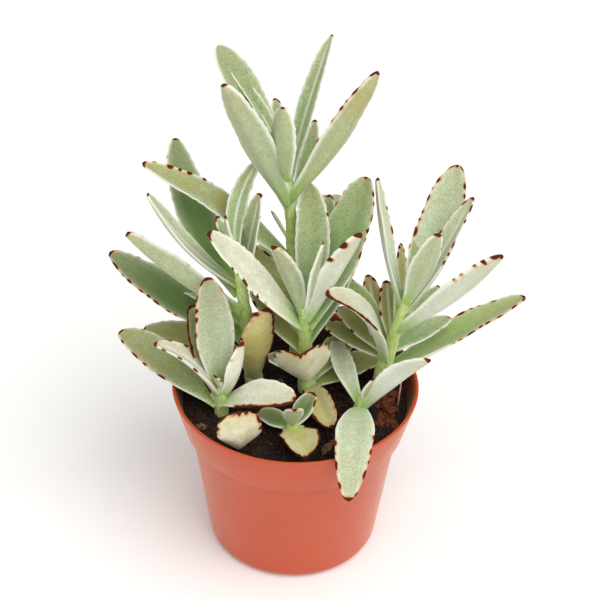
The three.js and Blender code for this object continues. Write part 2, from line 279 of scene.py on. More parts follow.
@dataclass(frozen=True)
class FeltedLeaf(Finish):
    """A living succulent leaf under a short dense felt of pale hairs.

    The felt scatters light at grazing angles, so the leaf looks matt and frosted, whiter towards its
    outline. Its colour comes from the mesh's tint, which also carries painted light and shade, and from
    the mesh's paint: browned teeth, pale margins that are partly painted light, yellow patches and the
    strength of its speckle.
    """

    title: str = "felted_leaf"
    felt: str = "eeeee2"
    speck: str = "6f8a4d"
    brown_dark: str = "330e02"
    brown_light: str = "6a2807"
    halo: str = "c9935c"
    yellow: str = "a99a4a"
    mottle_mm: float = 2.6
    nap_mm: float = 0.55  # real hairs are finer: drawn as coarse as it needs to show
    patch_mm: float = 7.0
    relief_mm: float = 0.25
    sheen: float = 0.35
    sheen_when_brown: float = 0.05

    def shade(self, tree: NodeTree, place: NodeSocket) -> Values:
        """Builds the finish's nodes.

        Args:
            tree: The material's node tree.
            place: Each point's place on the piece.

        Returns:
            The inputs of its shader.
        """
        tint = add_node(tree, "Attribute", attribute_name="tint")
        paint = add_node(tree, "Attribute", attribute_name="paint")
        masks = add_node(tree, "SeparateColor", {"Color": paint}).outputs
        grain = paint.outputs["Alpha"]
        mottle = add_node(tree, "TexNoise", {
            "Vector": place, "Scale": 1 / (self.mottle_mm * MM), "Detail": 3.0, "Roughness": 0.6})
        nap = add_node(tree, "TexNoise", {
            "Vector": place, "Scale": 1 / (self.nap_mm * MM), "Detail": 2.0, "Roughness": 0.6})
        # The darker skin shows between the hairs.
        bare = add_node(tree, "MapRange", {
            "Value": nap, "From Min": 0.36, "From Max": 0.56, "To Min": 0.68, "To Max": 0.0,
        }, interpolation_type="SMOOTHSTEP")
        between = add_node(tree, "Math", {0: bare, 1: grain}, operation="MULTIPLY")
        skin = add_node(tree, "Mix", {
            SHARE: between, FIRST: tint, SECOND: linear(self.speck)}, data_type="RGBA")
        # The leaf is mottled, and its tufts of hair catch the light.
        mottled = add_node(tree, "MapRange", {
            "Value": mottle, "From Min": 0.3, "From Max": 0.7, "To Min": 0.86, "To Max": 1.1})
        tufts = add_node(tree, "MapRange", {
            "Value": nap, "From Min": 0.5, "From Max": 0.72, "To Min": 1.0, "To Max": 1.22})
        uneven = add_node(tree, "Math", {0: mottled, 1: tufts}, operation="MULTIPLY")
        value = add_node(tree, "Mix", {"Factor": grain, "A": 1.0, "B": uneven})
        flesh = add_node(tree, "HueSaturation", {"Value": value, "Color": skin})
        # Older leaves yellow in patches.
        patches = add_node(tree, "TexNoise", {
            "Vector": place, "Scale": 1 / (self.patch_mm * MM), "Detail": 2.0})
        old = add_node(tree, "MapRange", {
            "Value": patches, "From Min": 0.36, "From Max": 0.68, "To Min": 0.1, "To Max": 0.8,
        }, interpolation_type="SMOOTHSTEP")
        yellowing = add_node(tree, "Math", {0: old, 1: masks["Blue"]}, operation="MULTIPLY")
        aged = add_node(tree, "Mix", {
            SHARE: yellowing, FIRST: flesh, SECOND: linear(self.yellow)}, data_type="RGBA")
        # The pale margins are mixed towards the felt's colour: denser felt, and partly painted light along
        # the outline.
        frosted = add_node(tree, "Mix", {
            SHARE: masks["Green"], FIRST: aged, SECOND: linear(self.felt)}, data_type="RGBA")
        # A tan halo lies around each ragged brown spot.
        ragged = add_node(tree, "Math", {0: mottle, 1: 0.3, 2: -0.15}, operation="MULTIPLY_ADD")
        browning = add_node(tree, "Math", {0: masks["Red"], 1: ragged}, operation="ADD")
        around = add_node(tree, "MapRange", {
            "Value": browning, "From Min": 0.08, "From Max": 0.32, "To Min": 0.0, "To Max": 0.85,
        }, interpolation_type="SMOOTHSTEP")
        haloed = add_node(tree, "Mix", {
            SHARE: around, FIRST: frosted, SECOND: linear(self.halo)}, data_type="RGBA")
        dead = add_node(tree, "MapRange", {
            "Value": browning, "From Min": 0.36, "From Max": 0.5}, interpolation_type="SMOOTHSTEP")
        brown = add_node(tree, "Mix", {
            SHARE: nap, FIRST: linear(self.brown_dark), SECOND: linear(self.brown_light)}, data_type="RGBA")
        colour = add_node(tree, "Mix", {SHARE: dead, FIRST: haloed, SECOND: brown}, data_type="RGBA")
        fuzz = add_node(tree, "MapRange", {
            "Value": dead, "To Min": self.sheen, "To Max": self.sheen_when_brown})
        relief = add_node(tree, "Bump", {
            "Height": nap, "Strength": 0.35, "Distance": self.relief_mm * MM})
        return {
            "Base Color": colour, "Normal": relief, "Roughness": 0.85, "Specular IOR Level": 0.2,
            "Sheen Weight": fuzz, "Sheen Roughness": 0.4, "Sheen Tint": linear("fbfaf0")}


@dataclass(frozen=True)
class FeltedStem(Finish):
    """A young green stem under the same felt, thinner, so the sap green shows through in streaks."""

    title: str = "felted_stem"
    green: str = "a7c356"
    pale: str = "d4deaa"
    grain_mm: float = 0.8
    grain_stretch: float = 0.3
    relief_mm: float = 0.25

    def shade(self, tree: NodeTree, place: NodeSocket) -> Values:
        """Builds the finish's nodes.

        Args:
            tree: The material's node tree.
            place: Each point's place on the piece.

        Returns:
            The inputs of its shader.
        """
        drawn_out = add_node(tree, "Mapping", {"Vector": place, "Scale": (1.0, 1.0, self.grain_stretch)})
        streaks = add_node(tree, "TexNoise", {
            "Vector": drawn_out, "Scale": 1 / (self.grain_mm * MM), "Detail": 3.0})
        felt = add_node(tree, "MapRange", {
            "Value": streaks, "From Min": 0.35, "From Max": 0.7, "To Min": 0.1, "To Max": 0.75})
        colour = add_node(tree, "Mix", {
            SHARE: felt, FIRST: linear(self.green), SECOND: linear(self.pale)}, data_type="RGBA")
        relief = add_node(tree, "Bump", {
            "Height": streaks, "Strength": 0.4, "Distance": self.relief_mm * MM})
        return {
            "Base Color": colour, "Normal": relief, "Roughness": 0.8, "Specular IOR Level": 0.2,
            "Sheen Weight": 0.22, "Sheen Roughness": 0.4, "Sheen Tint": linear("f6f8e4")}


@dataclass(frozen=True)
class FeltHair(Finish):
    """The plant's pale hairs: dry, matt and slightly uneven in colour."""

    title: str = "felt_hair"
    shaded: str = "dfe3cb"
    pale: str = "f1efe2"
    clump_mm: float = 3.0

    def shade(self, tree: NodeTree, place: NodeSocket) -> Values:
        """Builds the finish's nodes.

        Args:
            tree: The material's node tree.
            place: Each point's place on the piece.

        Returns:
            The inputs of its shader.
        """
        clumps = add_node(tree, "TexNoise", {
            "Vector": place, "Scale": 1 / (self.clump_mm * MM), "Detail": 2.0})
        colour = add_node(tree, "Mix", {
            SHARE: clumps, FIRST: linear(self.shaded), SECOND: linear(self.pale)}, data_type="RGBA")
        return {
            "Base Color": colour, "Roughness": 0.7, "Specular IOR Level": 0.3, "Sheen Weight": 0.3,
            "Sheen Roughness": 0.5}


@dataclass(frozen=True)
class MouldedPolypropylene(Finish):
    """Terracotta-coloured polypropylene, injection moulded with a fine satin surface.

    It takes a broad soft highlight, is a little uneven in colour, and carries faint scuffs and
    specks of dried soil from handling. The inside of the band below its rim is darkened with painted
    shade.
    """

    band_heights: Pair
    band_radii: Pair
    title: str = "moulded_polypropylene"
    colour: str = "c34e23"
    deep: str = "b2411a"
    scuff: str = "cc7d5e"
    soil: str = "4a2a1d"
    # Painted shade on the inside of the band.
    inside_shade: str = "2e150d"
    cloud_mm: float = 35.0
    speck_mm: float = 1.6
    grain_mm: float = 0.5
    relief_mm: float = 0.08
    scuff_mm: float = 9.0
    scuff_squeeze: float = 2.6
    cleanest_height: float = 45.0
    inner_side: Pair = (0.7, 1.3)
    inside_shade_foot: Pair = (1.5, 3.0)
    inside_shade_top: Pair = (4.5, 0.5)

    def shaded_inside(self, tree: NodeTree, place: NodeSocket, height: NodeSocket) -> Node:
        """Finds where painted shade darkens the inside of the band: nearer the axis than the band's outer
        face.

        Args:
            tree: The material's node tree.
            place: Each point's place on the pot.
            height: Each point's height.

        Returns:
            The node that gives how much painted shade darkens each point.
        """
        low, high = self.band_heights
        flat = add_node(tree, "Mapping", {"Vector": place, "Scale": (1.0, 1.0, 0.0)})
        from_axis = add_node(tree, "VectorMath", {0: flat}, operation="LENGTH")
        outer = add_node(tree, "MapRange", {
            "Value": height, "From Min": low * MM, "From Max": high * MM,
            "To Min": self.band_radii[0] * MM, "To Max": self.band_radii[1] * MM})
        sunk = add_node(tree, "Math", {0: outer, 1: from_axis}, operation="SUBTRACT")
        inside = add_node(tree, "MapRange", {
            "Value": sunk, "From Min": self.inner_side[0] * MM, "From Max": self.inner_side[1] * MM})
        in_band = add_node(tree, "MapRange", {
            "Value": height, "From Min": (low + self.inside_shade_foot[0]) * MM,
            "From Max": (low + self.inside_shade_foot[1]) * MM})
        below_rim = add_node(tree, "MapRange", {
            "Value": height, "From Min": (high - self.inside_shade_top[0]) * MM,
            "From Max": (high - self.inside_shade_top[1]) * MM, "To Min": 0.85, "To Max": 0.1})
        band_inside = add_node(tree, "Math", {0: inside, 1: in_band}, operation="MULTIPLY")
        return add_node(tree, "Math", {0: band_inside, 1: below_rim}, operation="MULTIPLY")

    def shade(self, tree: NodeTree, place: NodeSocket) -> Values:
        """Builds the finish's nodes.

        Args:
            tree: The material's node tree.
            place: Each point's place on the piece.

        Returns:
            The inputs of its shader.
        """
        height = add_node(tree, "SeparateXYZ", {"Vector": place}).outputs["Z"]
        cloud = add_node(tree, "TexNoise", {
            "Vector": place, "Scale": 1 / (self.cloud_mm * MM), "Detail": 3.0})
        base = add_node(tree, "Mix", {
            SHARE: cloud, FIRST: linear(self.deep), SECOND: linear(self.colour)}, data_type="RGBA")
        level = add_node(tree, "Mapping", {"Vector": place, "Scale": (1.0, 1.0, self.scuff_squeeze)})
        scuffs = add_node(tree, "TexNoise", {
            "Vector": level, "Scale": 1 / (self.scuff_mm * MM), "Detail": 8.0, "Roughness": 0.75})
        worn = add_node(tree, "MapRange", {
            "Value": scuffs, "From Min": 0.6, "From Max": 0.78, "To Min": 0.0, "To Max": 0.4,
        }, interpolation_type="SMOOTHSTEP")
        rubbed = add_node(tree, "Mix", {
            SHARE: worn, FIRST: base, SECOND: linear(self.scuff)}, data_type="RGBA")
        specks = add_node(tree, "TexNoise", {
            "Vector": place, "Scale": 1 / (self.speck_mm * MM), "Detail": 2.0})
        speckled = add_node(tree, "MapRange", {
            "Value": specks, "From Min": 0.735, "From Max": 0.77, "To Min": 0.0, "To Max": 0.7})
        near_rim = add_node(tree, "MapRange", {
            "Value": height, "From Min": self.cleanest_height * MM, "From Max": self.band_heights[1] * MM,
            "To Min": 0.15, "To Max": 1.0})
        dirt = add_node(tree, "Math", {0: speckled, 1: near_rim}, operation="MULTIPLY")
        dirty = add_node(tree, "Mix", {
            SHARE: dirt, FIRST: rubbed, SECOND: linear(self.soil)}, data_type="RGBA")
        # Painted shade darkens the inside of the band below the rim.
        colour = add_node(tree, "Mix", {
            SHARE: self.shaded_inside(tree, place, height), FIRST: dirty, SECOND: linear(self.inside_shade),
        }, data_type="RGBA")
        gloss = add_node(tree, "MapRange", {
            "Value": scuffs, "From Min": 0.3, "From Max": 0.75, "To Min": 0.3, "To Max": 0.45})
        grain = add_node(tree, "TexNoise", {
            "Vector": place, "Scale": 1 / (self.grain_mm * MM), "Detail": 2.0})
        relief = add_node(tree, "Bump", {
            "Height": grain, "Strength": 0.12, "Distance": self.relief_mm * MM})
        return {
            "Base Color": colour, "Normal": relief, "Roughness": gloss, "IOR": 1.49,
            "Sheen Weight": 0.5, "Sheen Roughness": 0.25, "Sheen Tint": linear("ffd4b8")}


@dataclass(frozen=True)
class PeatSoil(Finish):
    """Moist peat potting soil: almost black, matt, with browner drier crumbs and a faint damp glint."""

    title: str = "peat_soil"
    wet: str = "1b100c"
    dry: str = "4b3022"
    crumb_mm: float = 1.8
    relief_mm: float = 0.7

    def shade(self, tree: NodeTree, place: NodeSocket) -> Values:
        """Builds the finish's nodes.

        Args:
            tree: The material's node tree.
            place: Each point's place on the piece.

        Returns:
            The inputs of its shader.
        """
        crumbs = add_node(tree, "TexNoise", {
            "Vector": place, "Scale": 1 / (self.crumb_mm * MM), "Detail": 6.0, "Roughness": 0.7})
        dryness = add_node(tree, "MapRange", {
            "Value": crumbs, "From Min": 0.42, "From Max": 0.72, "To Min": 0.0, "To Max": 0.85,
        }, interpolation_type="SMOOTHSTEP")
        colour = add_node(tree, "Mix", {
            SHARE: dryness, FIRST: linear(self.wet), SECOND: linear(self.dry)}, data_type="RGBA")
        relief = add_node(tree, "Bump", {
            "Height": crumbs, "Strength": 0.9, "Distance": self.relief_mm * MM})
        damp = add_node(tree, "MapRange", {
            "Value": crumbs, "From Min": 0.3, "From Max": 0.7, "To Min": 0.6, "To Max": 0.97})
        return {"Base Color": colour, "Normal": relief, "Roughness": damp, "Specular IOR Level": 0.3}


@dataclass(frozen=True)
class PlantFibre(Finish):
    """Dry plant matter in the soil, such as coir, bark shreds and old stalks: streaked and matt."""

    title: str
    dark: str
    light: str
    streak_mm: float = 0.7
    relief_mm: float = 0.3

    def shade(self, tree: NodeTree, place: NodeSocket) -> Values:
        """Builds the finish's nodes.

        Args:
            tree: The material's node tree.
            place: Each point's place on the piece.

        Returns:
            The inputs of its shader.
        """
        streaks = add_node(tree, "TexNoise", {
            "Vector": place, "Scale": 1 / (self.streak_mm * MM), "Detail": 5.0, "Distortion": 1.5})
        share = add_node(tree, "MapRange", {"Value": streaks, "From Min": 0.35, "From Max": 0.65})
        colour = add_node(tree, "Mix", {
            SHARE: share, FIRST: linear(self.dark), SECOND: linear(self.light)}, data_type="RGBA")
        relief = add_node(tree, "Bump", {
            "Height": streaks, "Strength": 0.8, "Distance": self.relief_mm * MM})
        return {"Base Color": colour, "Normal": relief, "Roughness": 0.85, "Specular IOR Level": 0.25}


@dataclass(frozen=True)
class MattFloor(Finish):
    """The studio's floor: pale matt paper, one even colour."""

    title: str = "pale_floor"
    colour: str = "fafaf8"

    def shade(self, tree: NodeTree, place: NodeSocket) -> Values:
        """Gives its one colour, without nodes of its own."""
        return {"Base Color": linear(self.colour), "Roughness": 0.9, "Specular IOR Level": 0.1}


# ---- pot ----------------------------------------------------------------------------------------


@dataclass(frozen=True)
class NurseryPot:
    """The round tapered pot with its banded rim, moulded in one piece."""

    height: float = 81.0
    rim_radius: float = 52.5
    band_height: float = 20.0
    band_foot_radius: float = 47.3
    shoulder_radius: float = 44.9
    foot_radius: float = 37.6
    corner_height: float = 5.5
    corner_inset: float = 1.4
    wall: float = 1.5
    floor: float = 2.0
    drain_holes: int = 8
    drain_hole_radius: float = 3.6
    drain_ring_radius: float = 24.0
    steps: int = 160
    sharp_angle: float = 40.0

    @property
    def band_bottom(self) -> float:
        """The height at which the band overhangs the body."""
        return self.height - self.band_height

    @property
    def base_radius(self) -> float:
        """Where the body's slope would meet the ground."""
        slope = (self.shoulder_radius - self.foot_radius) / (self.band_bottom - self.corner_height)
        return self.foot_radius - slope * self.corner_height

    def inside(self, gap: float) -> list[Pair]:
        """The inside of the pot.

        Args:
            gap: How far to stay from the wall.

        Returns:
            Radius and height of each corner, from the floor's middle to the rim.
        """
        inset = self.wall + gap
        return [
            (0.0, self.floor),
            (self.base_radius - inset - self.corner_inset, self.floor),
            (self.foot_radius - inset, self.corner_height),
            (self.shoulder_radius - inset, self.band_bottom),
            (self.band_foot_radius - inset, self.band_bottom + self.wall),
            (self.rim_radius - inset, self.height),
        ]

    def section(self) -> list[Pair]:
        """The whole section, from the underside's middle up the outside and down the inside."""
        outside = [
            (0.0, 0.0),
            (self.base_radius, 0.0),
            (self.shoulder_radius, self.band_bottom),
            (self.band_foot_radius, self.band_bottom),
            (self.rim_radius, self.height),
        ]
        return outside + self.inside(0.0)[::-1]

    def round_edges(self, bm: BMesh, radius: float, height: float, offset: float, segments: int) -> None:
        """Rounds the ring of edges at one corner of the section.

        Args:
            bm: The spun pot.
            radius: The corner's radius.
            height: The corner's height.
            offset: How far back from the corner the rounding starts.
            segments: The rounding's number of faces.
        """
        def at_corner(vert: BMVert) -> bool:
            """Whether a vertex is on the ring."""
            return abs(vert.co.z / MM - height) < 0.01 and abs(vert.co.xy.length / MM - radius) < 0.01

        edges = [e for e in bm.edges if all(at_corner(v) for v in e.verts)]
        bmesh.ops.bevel(bm, geom=edges, offset=offset * MM, offset_type="OFFSET", segments=segments,
                        profile=0.5, affect="EDGES", material=-1, clamp_overlap=True)

    def shell(self) -> Mesh:
        """Spins the section and rounds its corners."""
        bm = spin_section(self.section(), self.steps)
        for radius, height, offset, segments in (
            (self.base_radius, 0.0, 4.2, 8),
            (self.shoulder_radius, self.band_bottom, 0.6, 3),
            (self.band_foot_radius, self.band_bottom, 0.8, 4),
            (self.rim_radius, self.height, 0.55, 4),
            (self.rim_radius - self.wall, self.height, 0.55, 4),
        ):
            self.round_edges(bm, radius, height, offset, segments)
        bmesh.ops.recalc_face_normals(bm, faces=bm.faces)
        return finish_mesh(bm, "nursery_pot")

    def hole_cutters(self) -> Mesh:
        """One upright cylinder for each drain hole, deep enough to pass through the floor."""
        bm = bmesh.new()
        for i in range(self.drain_holes):
            angle = 2 * math.pi * (i + 0.5) / self.drain_holes
            centre = Vector((math.cos(angle), math.sin(angle), 0.0)) * self.drain_ring_radius * MM
            bmesh.ops.create_cone(bm, cap_ends=True, segments=32, radius1=self.drain_hole_radius * MM,
                                  radius2=self.drain_hole_radius * MM, depth=6 * self.floor * MM,
                                  matrix=Matrix.Translation(centre))
        return finish_mesh(bm, "drain_hole_cutters", smooth=False)

    def build(self) -> None:
        """Builds the pot, cuts its drain holes and puts it in the scene."""
        cutters = bpy.data.objects.new("drain_hole_cutters", self.hole_cutters())
        blank = bpy.data.objects.new("pot_blank", self.shell())
        for helper in (cutters, blank):
            bpy.context.scene.collection.objects.link(helper)
        cut = blank.modifiers.new("drain_holes", "BOOLEAN")
        cut.operation = "DIFFERENCE"
        cut.solver = "EXACT"
        cut.object = cutters
        graph = bpy.context.evaluated_depsgraph_get()
        mesh = bpy.data.meshes.new_from_object(blank.evaluated_get(graph), depsgraph=graph)
        for helper in (cutters, blank):
            bpy.data.objects.remove(helper)
        mesh.name = "nursery_pot_shell"
        mesh.shade_smooth()
        mesh.set_sharp_from_angle(angle=math.radians(self.sharp_angle))
        plastic = MouldedPolypropylene(
            (self.band_bottom, self.height), (self.band_foot_radius, self.rim_radius))
        place_piece(mesh, [plastic.material()], "pot")


# ---- soil ---------------------------------------------------------------------------------------


@dataclass(frozen=True)
class Chip:
    """A dried leaf or chip half sunk in the soil: its name, place, half sizes and turn."""

    name: str
    x: float
    y: float
    sizes: Triple
    turn: float


@dataclass(frozen=True)
class PottingSoil:
    """The block of soil in the pot, its crumbs, and the plant matter lying on it."""

    pot: NurseryPot
    level: float = 72.0
    relief: float = 1.1
    broad_share: float = 0.6
    roughness: float = 0.8
    edge_radius: float = 44.0
    edge_width: float = 4.0
    edge_drop: float = 0.8
    wall_gap: float = 0.3
    steps: int = 220
    rings: int = 90
    crumbs: int = 4200
    crumb_reach: float = 46.6
    fibres: int = 110
    fibre_reach: float = 45.0
    fibre_lengths: Pair = (1.2, 4.5)
    coir_lumps: int = 60
    coir_x: Pair = (34.5, 43.0)
    coir_y: Pair = (-19.0, 3.0)
    coir_sizes: Pair = (0.8, 2.2)
    coir_shape: Triple = (1.3, 0.9, 0.7)
    stalk_foot: Triple = (43.8, -4.5, 72.5)
    stalk_tip: Triple = (45.1, 0.4, 84.0)
    stalk_radius: float = 0.45
    chips: tuple[Chip, ...] = (
        Chip("dried_leaf_front", 14.0, -32.5, (5.0, 1.7, 1.2), 62.0),
        Chip("dried_leaf_right", 26.0, -22.5, (3.0, 1.4, 1.0), 20.0),
        Chip("dried_leaf_left", -38.5, -20.0, (3.0, 1.8, 1.0), -30.0),
        Chip("dried_leaf_centre", -6.0, 6.0, (4.0, 1.3, 1.6), 100.0),
    )
    seed: int = 7

    def surface(self, x: float, y: float) -> float:
        """The height of the soil at a place.

        Args:
            x: The place's X.
            y: The place's Y.

        Returns:
            The height above the ground.
        """
        broad = math.sin(x * 0.13 + 1.1) * math.cos(y * 0.11 - 0.4)
        swells = math.sin(x * 0.41 + y * 0.23) * math.sin(y * 0.37 - x * 0.19 + 0.8)
        rough = noise.fractal(Vector((x, y, 3.0)) * 0.45, 0.7, 2.1, 5) * self.roughness
        rise = self.relief * (self.broad_share * broad + (1 - self.broad_share) * swells)
        edge = max(0.0, (math.hypot(x, y) - self.edge_radius) / self.edge_width)
        return self.level + rise * (1 - min(1.0, edge)) + rough - self.edge_drop * edge

    def block(self) -> Mesh:
        """Spins the block of soil and roughens its top."""
        inside = self.pot.inside(self.wall_gap)
        low, high = inside[4], inside[5]
        edge = low[0] + (high[0] - low[0]) * (self.level - self.relief - low[1]) / (high[1] - low[1])
        top = [(edge * (1 - k / self.rings), self.level) for k in range(self.rings + 1)]
        bm = spin_section(inside[:5] + top, self.steps)
        for vert in bm.verts:
            if vert.co.z > (self.level - 0.01) * MM:
                vert.co.z = self.surface(vert.co.x / MM, vert.co.y / MM) * MM
        bmesh.ops.recalc_face_normals(bm, faces=bm.faces)
        return finish_mesh(bm, "soil_block")

    def spots(self, rng: random.Random, count: int, reach: float) -> list[Pair]:
        """Draws places on the soil, evenly spread.

        Args:
            rng: The seeded source of the draw.
            count: How many.
            reach: The largest distance from the pot's axis.

        Returns:
            The X and Y of each place.
        """
        drawn = []
        for _ in range(count):
            distance, angle = reach * math.sqrt(rng.random()), rng.uniform(0, 2 * math.pi)
            drawn.append((distance * math.cos(angle), distance * math.sin(angle)))
        return drawn

    def crumb_mesh(self) -> Mesh:
        """The loose crumbs, larger ones rarer."""
        rng = random.Random(self.seed)
        bm = bmesh.new()
        made = bmesh.ops.create_icosphere(bm, subdivisions=1, radius=MM)
        for vert in made["verts"]:
            vert.co *= 1.0 + 0.35 * noise.noise(vert.co * 900.0)
        template = finish_mesh(bm, "crumb_template")
        matrices = []
        for x, y in self.spots(rng, self.crumbs, self.crumb_reach):
            size = 0.28 + 0.9 * rng.random() ** 3
            angle = rng.uniform(*ANY_TURN)
            turn = Matrix.Rotation(angle, 4, Vector((rng.random(), rng.random(), rng.random() + 0.1)))
            stretch = Matrix.Diagonal((size * rng.uniform(0.8, 1.5), size, size * rng.uniform(0.6, 1.0), 1.0))
            spot = shift_mm(x, y, self.surface(x, y) + 0.3 * size)
            matrices.append(np.array(spot @ turn @ stretch))
        return scattered_copies("soil_crumbs", template, np.array(matrices))

    def fibre_mesh(self) -> Mesh:
        """Thin shreds of coir and root lying on the soil."""
        rng = random.Random(self.seed + 1)
        matrices = []
        for x, y in self.spots(rng, self.fibres, self.fibre_reach):
            length = rng.uniform(*self.fibre_lengths)
            heading, tilt = rng.uniform(*ANY_TURN), rng.uniform(1.2, 1.8)
            turn = Matrix.Rotation(heading, 4, "Z") @ Matrix.Rotation(tilt, 4, "X")
            spot = shift_mm(x, y, self.surface(x, y) + 0.7)
            matrices.append(np.array(spot @ turn @ Matrix.Diagonal((1.0, 1.0, length, 1.0))))
        template = spike("fibre_template", 4, 0.14, 0.06, 0.0)
        return scattered_copies("soil_fibres", template, np.array(matrices))

    def chip_mesh(self, chip: Chip) -> Mesh:
        """A dried leaf or chip, half sunk in the soil.

        Args:
            chip: Which one.

        Returns:
            Its mesh.
        """
        spot = shift_mm(chip.x, chip.y, self.surface(chip.x, chip.y) + 0.35 * chip.sizes[2])
        turn = Matrix.Rotation(math.radians(chip.turn), 4, "Z")
        size = Matrix.Diagonal(tuple(half * MM for half in chip.sizes) + (1.0,))
        bm = bmesh.new()
        add_lump(bm, 4, (0.3, 2.2, 0.8), chip.x, chip.y, spot @ turn @ size)
        return finish_mesh(bm, chip.name)

    def coir_mesh(self) -> Mesh:
        """The clump of reddish coir on the right, many small lumps piled together."""
        rng = random.Random(self.seed + 2)
        bm = bmesh.new()
        for _ in range(self.coir_lumps):
            x, y, size = (rng.uniform(*span) for span in (self.coir_x, self.coir_y, self.coir_sizes))
            spot = shift_mm(x, y, self.surface(x, y) + rng.uniform(0.0, 0.6) * size)
            heading, tilt = rng.uniform(0, 3.1), rng.uniform(-0.6, 0.6)
            turn = Matrix.Rotation(heading, 4, "Z") @ Matrix.Rotation(tilt, 4, "X")
            stretch = Matrix.Diagonal(tuple(size * half * MM for half in self.coir_shape) + (1.0,))
            add_lump(bm, 3, (0.45, 1.9, 0.7), x, y, spot @ turn @ stretch)
        return finish_mesh(bm, "coir_clump")

    def stalk_mesh(self) -> Mesh:
        """A thin dry stalk standing in the soil, half as thick at its tip."""
        foot, tip = Vector(self.stalk_foot), Vector(self.stalk_tip)
        run = tip - foot
        turn = run.to_track_quat("Z", "Y").to_matrix().to_4x4()
        centre = Matrix.Translation((foot + run / 2) * MM)
        bm = bmesh.new()
        bmesh.ops.create_cone(bm, cap_ends=True, segments=10, radius1=self.stalk_radius * MM,
                              radius2=0.5 * self.stalk_radius * MM, depth=run.length * MM,
                              matrix=centre @ turn)
        return finish_mesh(bm, "dry_stalk")

    def build(self) -> None:
        """Builds the soil and what lies on it."""
        peat = PeatSoil().material()
        coir = PlantFibre("coir_chunk", "2c120a", "824527").material()
        dried = PlantFibre("dried_leaf", "42261a", "98775a").material()
        shred = PlantFibre("coir_shred", "4a3022", "846349").material()
        stalk = PlantFibre("dry_stalk", "a8736c", "d8b4a8").material()
        place_piece(self.block(), [peat], "soil")
        for mesh, material in (
            (self.crumb_mesh(), peat),
            (self.fibre_mesh(), shred),
            (self.coir_mesh(), coir),
            (self.stalk_mesh(), stalk),
        ):
            place_piece(mesh, [material])
        for chip in self.chips:
            place_piece(self.chip_mesh(chip), [dried])


# ---- plant --------------------------------------------------------------------------------------


class Marks(Enum):
    """How a leaf's margins are browned, from not at all to every tooth of a scalloped edge."""

    BARE = (0.0, 0.0, 1.0, 1.0, 1.0)
    TIP = (0.5, 0.0, 0.8, 0.9, 1.0)
    FAINT = (0.8, 0.0, 1.0, 0.62, 0.7)
    SPOTTED = (1.0, 0.0, 1.4, 0.45, 0.4)
    DOTTED = (1.25, 0.0, 1.9, 0.4, 0.15)
    LINED = (0.95, 0.3, 0.8, 0.6, 0.35)
    EDGED = (1.25, 0.5, 2.1, 0.3, 0.0)
    BANDED = (1.3, 0.4, 2.2, 0.5, 0.0)
    OUTER = (1.3, 0.0, 2.0, 0.62, 0.1)
    LOWER = (1.1, 0.25, 1.3, 0.52, 0.0)
    HEAVY = (1.1, 0.22, 1.5, 0.4, 0.12)
    CRENATE = (1.2, 0.32, 1.8, 0.5, 0.0)
    SCALLOPED = (1.2, 0.55, 1.8, 0.12, 0.0)

    def __init__(self, strength: float, evenness: float, depth: float, starts: float, skipped: float) -> None:
        """Names the values above.

        Args:
            strength: How dark the spots are.
            evenness: 0 for separate spots, 1 for an unbroken brown margin.
            depth: How far in from the margin the brown reaches.
            starts: The share of the leaf's length where the spots start.
            skipped: The share of the teeth that stay green.
        """
        self.strength, self.evenness, self.depth = strength, evenness, depth
        self.starts, self.skipped = starts, skipped


class Sides(Enum):
    """Which margins are browned most."""

    BOTH = (1.0, 1.0)
    LEFT = (1.0, 0.45)
    RIGHT = (0.45, 1.0)
    LEFT_ONLY = (1.0, 0.0)
    RIGHT_ONLY = (0.0, 1.0)

    def __init__(self, left: float, right: float) -> None:
        """Names the weights of the left and the right margin."""
        self.left, self.right = left, right


class Tone(Enum):
    """A leaf's colour under its felt; some tones paint light or shade onto the whole leaf."""

    SAGE = ("9db083", "b0ba98", 0.25, 0.3, 0.9)
    GREEN = ("88a46d", "a8b68a", 0.12, 0.3, 0.8)
    # Painted shade: a darker copy of the green, for leaves that lie in shadow.
    DARK = ("66834b", "929f6e", 0.05, 0.3, 0.6)
    # Painted light: paler copies of the sage, for leaves that face the light; the cream one also yellows.
    LIT_PALE = ("ced6bd", "d9ddcb", 0.15, 0.3, 0.5)
    LIGHT = ("bec8a9", "ced3b9", 0.15, 0.3, 0.6)
    LIT_CREAM = ("e4e4d2", "e9e8d6", 0.3, 0.1, 0.4)
    WARM = ("e2dfc4", "ebe4c8", 0.6, 0.0, 0.4)
    OLIVE = ("a3a466", "b0b078", 0.5, 0.1, 0.7)
    OLD = ("cfca90", "e8dfbb", 0.5, 0.0, 0.4)
    SUNNED = ("b9ae58", "cbbf74", 0.4, 0.3, 0.7)
    FRESH = ("a2bd76", "becb98", 0.35, 0.3, 0.6)
    MOTTLED = ("a3b084", "b6bb90", 0.6, 0.25, 0.9)
    YELLOW_TIP = ("a3ae83", "b5b98d", 0.75, 0.72, 0.9)

    def __init__(self, above: str, below: str, yellowing: float, yellow_from: float, grain: float) -> None:
        """Names the values above.

        Args:
            above: The upper face's colour as hex digits.
            below: The under side's colour as hex digits.
            yellowing: How much of the leaf may be yellow.
            yellow_from: The share of the length where the yellow starts.
            grain: How much of the darker skin shows between the hairs.
        """
        self.above, self.below = above, below
        self.yellowing, self.yellow_from, self.grain = yellowing, yellow_from, grain


@dataclass(frozen=True)
class Leaf:
    """One leaf: the height where it leaves its stem, its heading (0 = +X, 90 = away from the viewer),
    its rise above the horizon, its length and width, how far its middle bows down and sideways, its
    roll about its length, how far its halves fold up, how it is coloured, and its taper, larger for a
    broader tip."""

    height: float
    heading: float
    rise: float
    length: float
    width: float
    bow: float = 0.0
    sway: float = 0.0
    roll: float = 0.0
    fold: float = 20.0
    marks: Marks = Marks.SPOTTED
    sides: Sides = Sides.BOTH
    tone: Tone = Tone.SAGE
    taper: float = 2.4


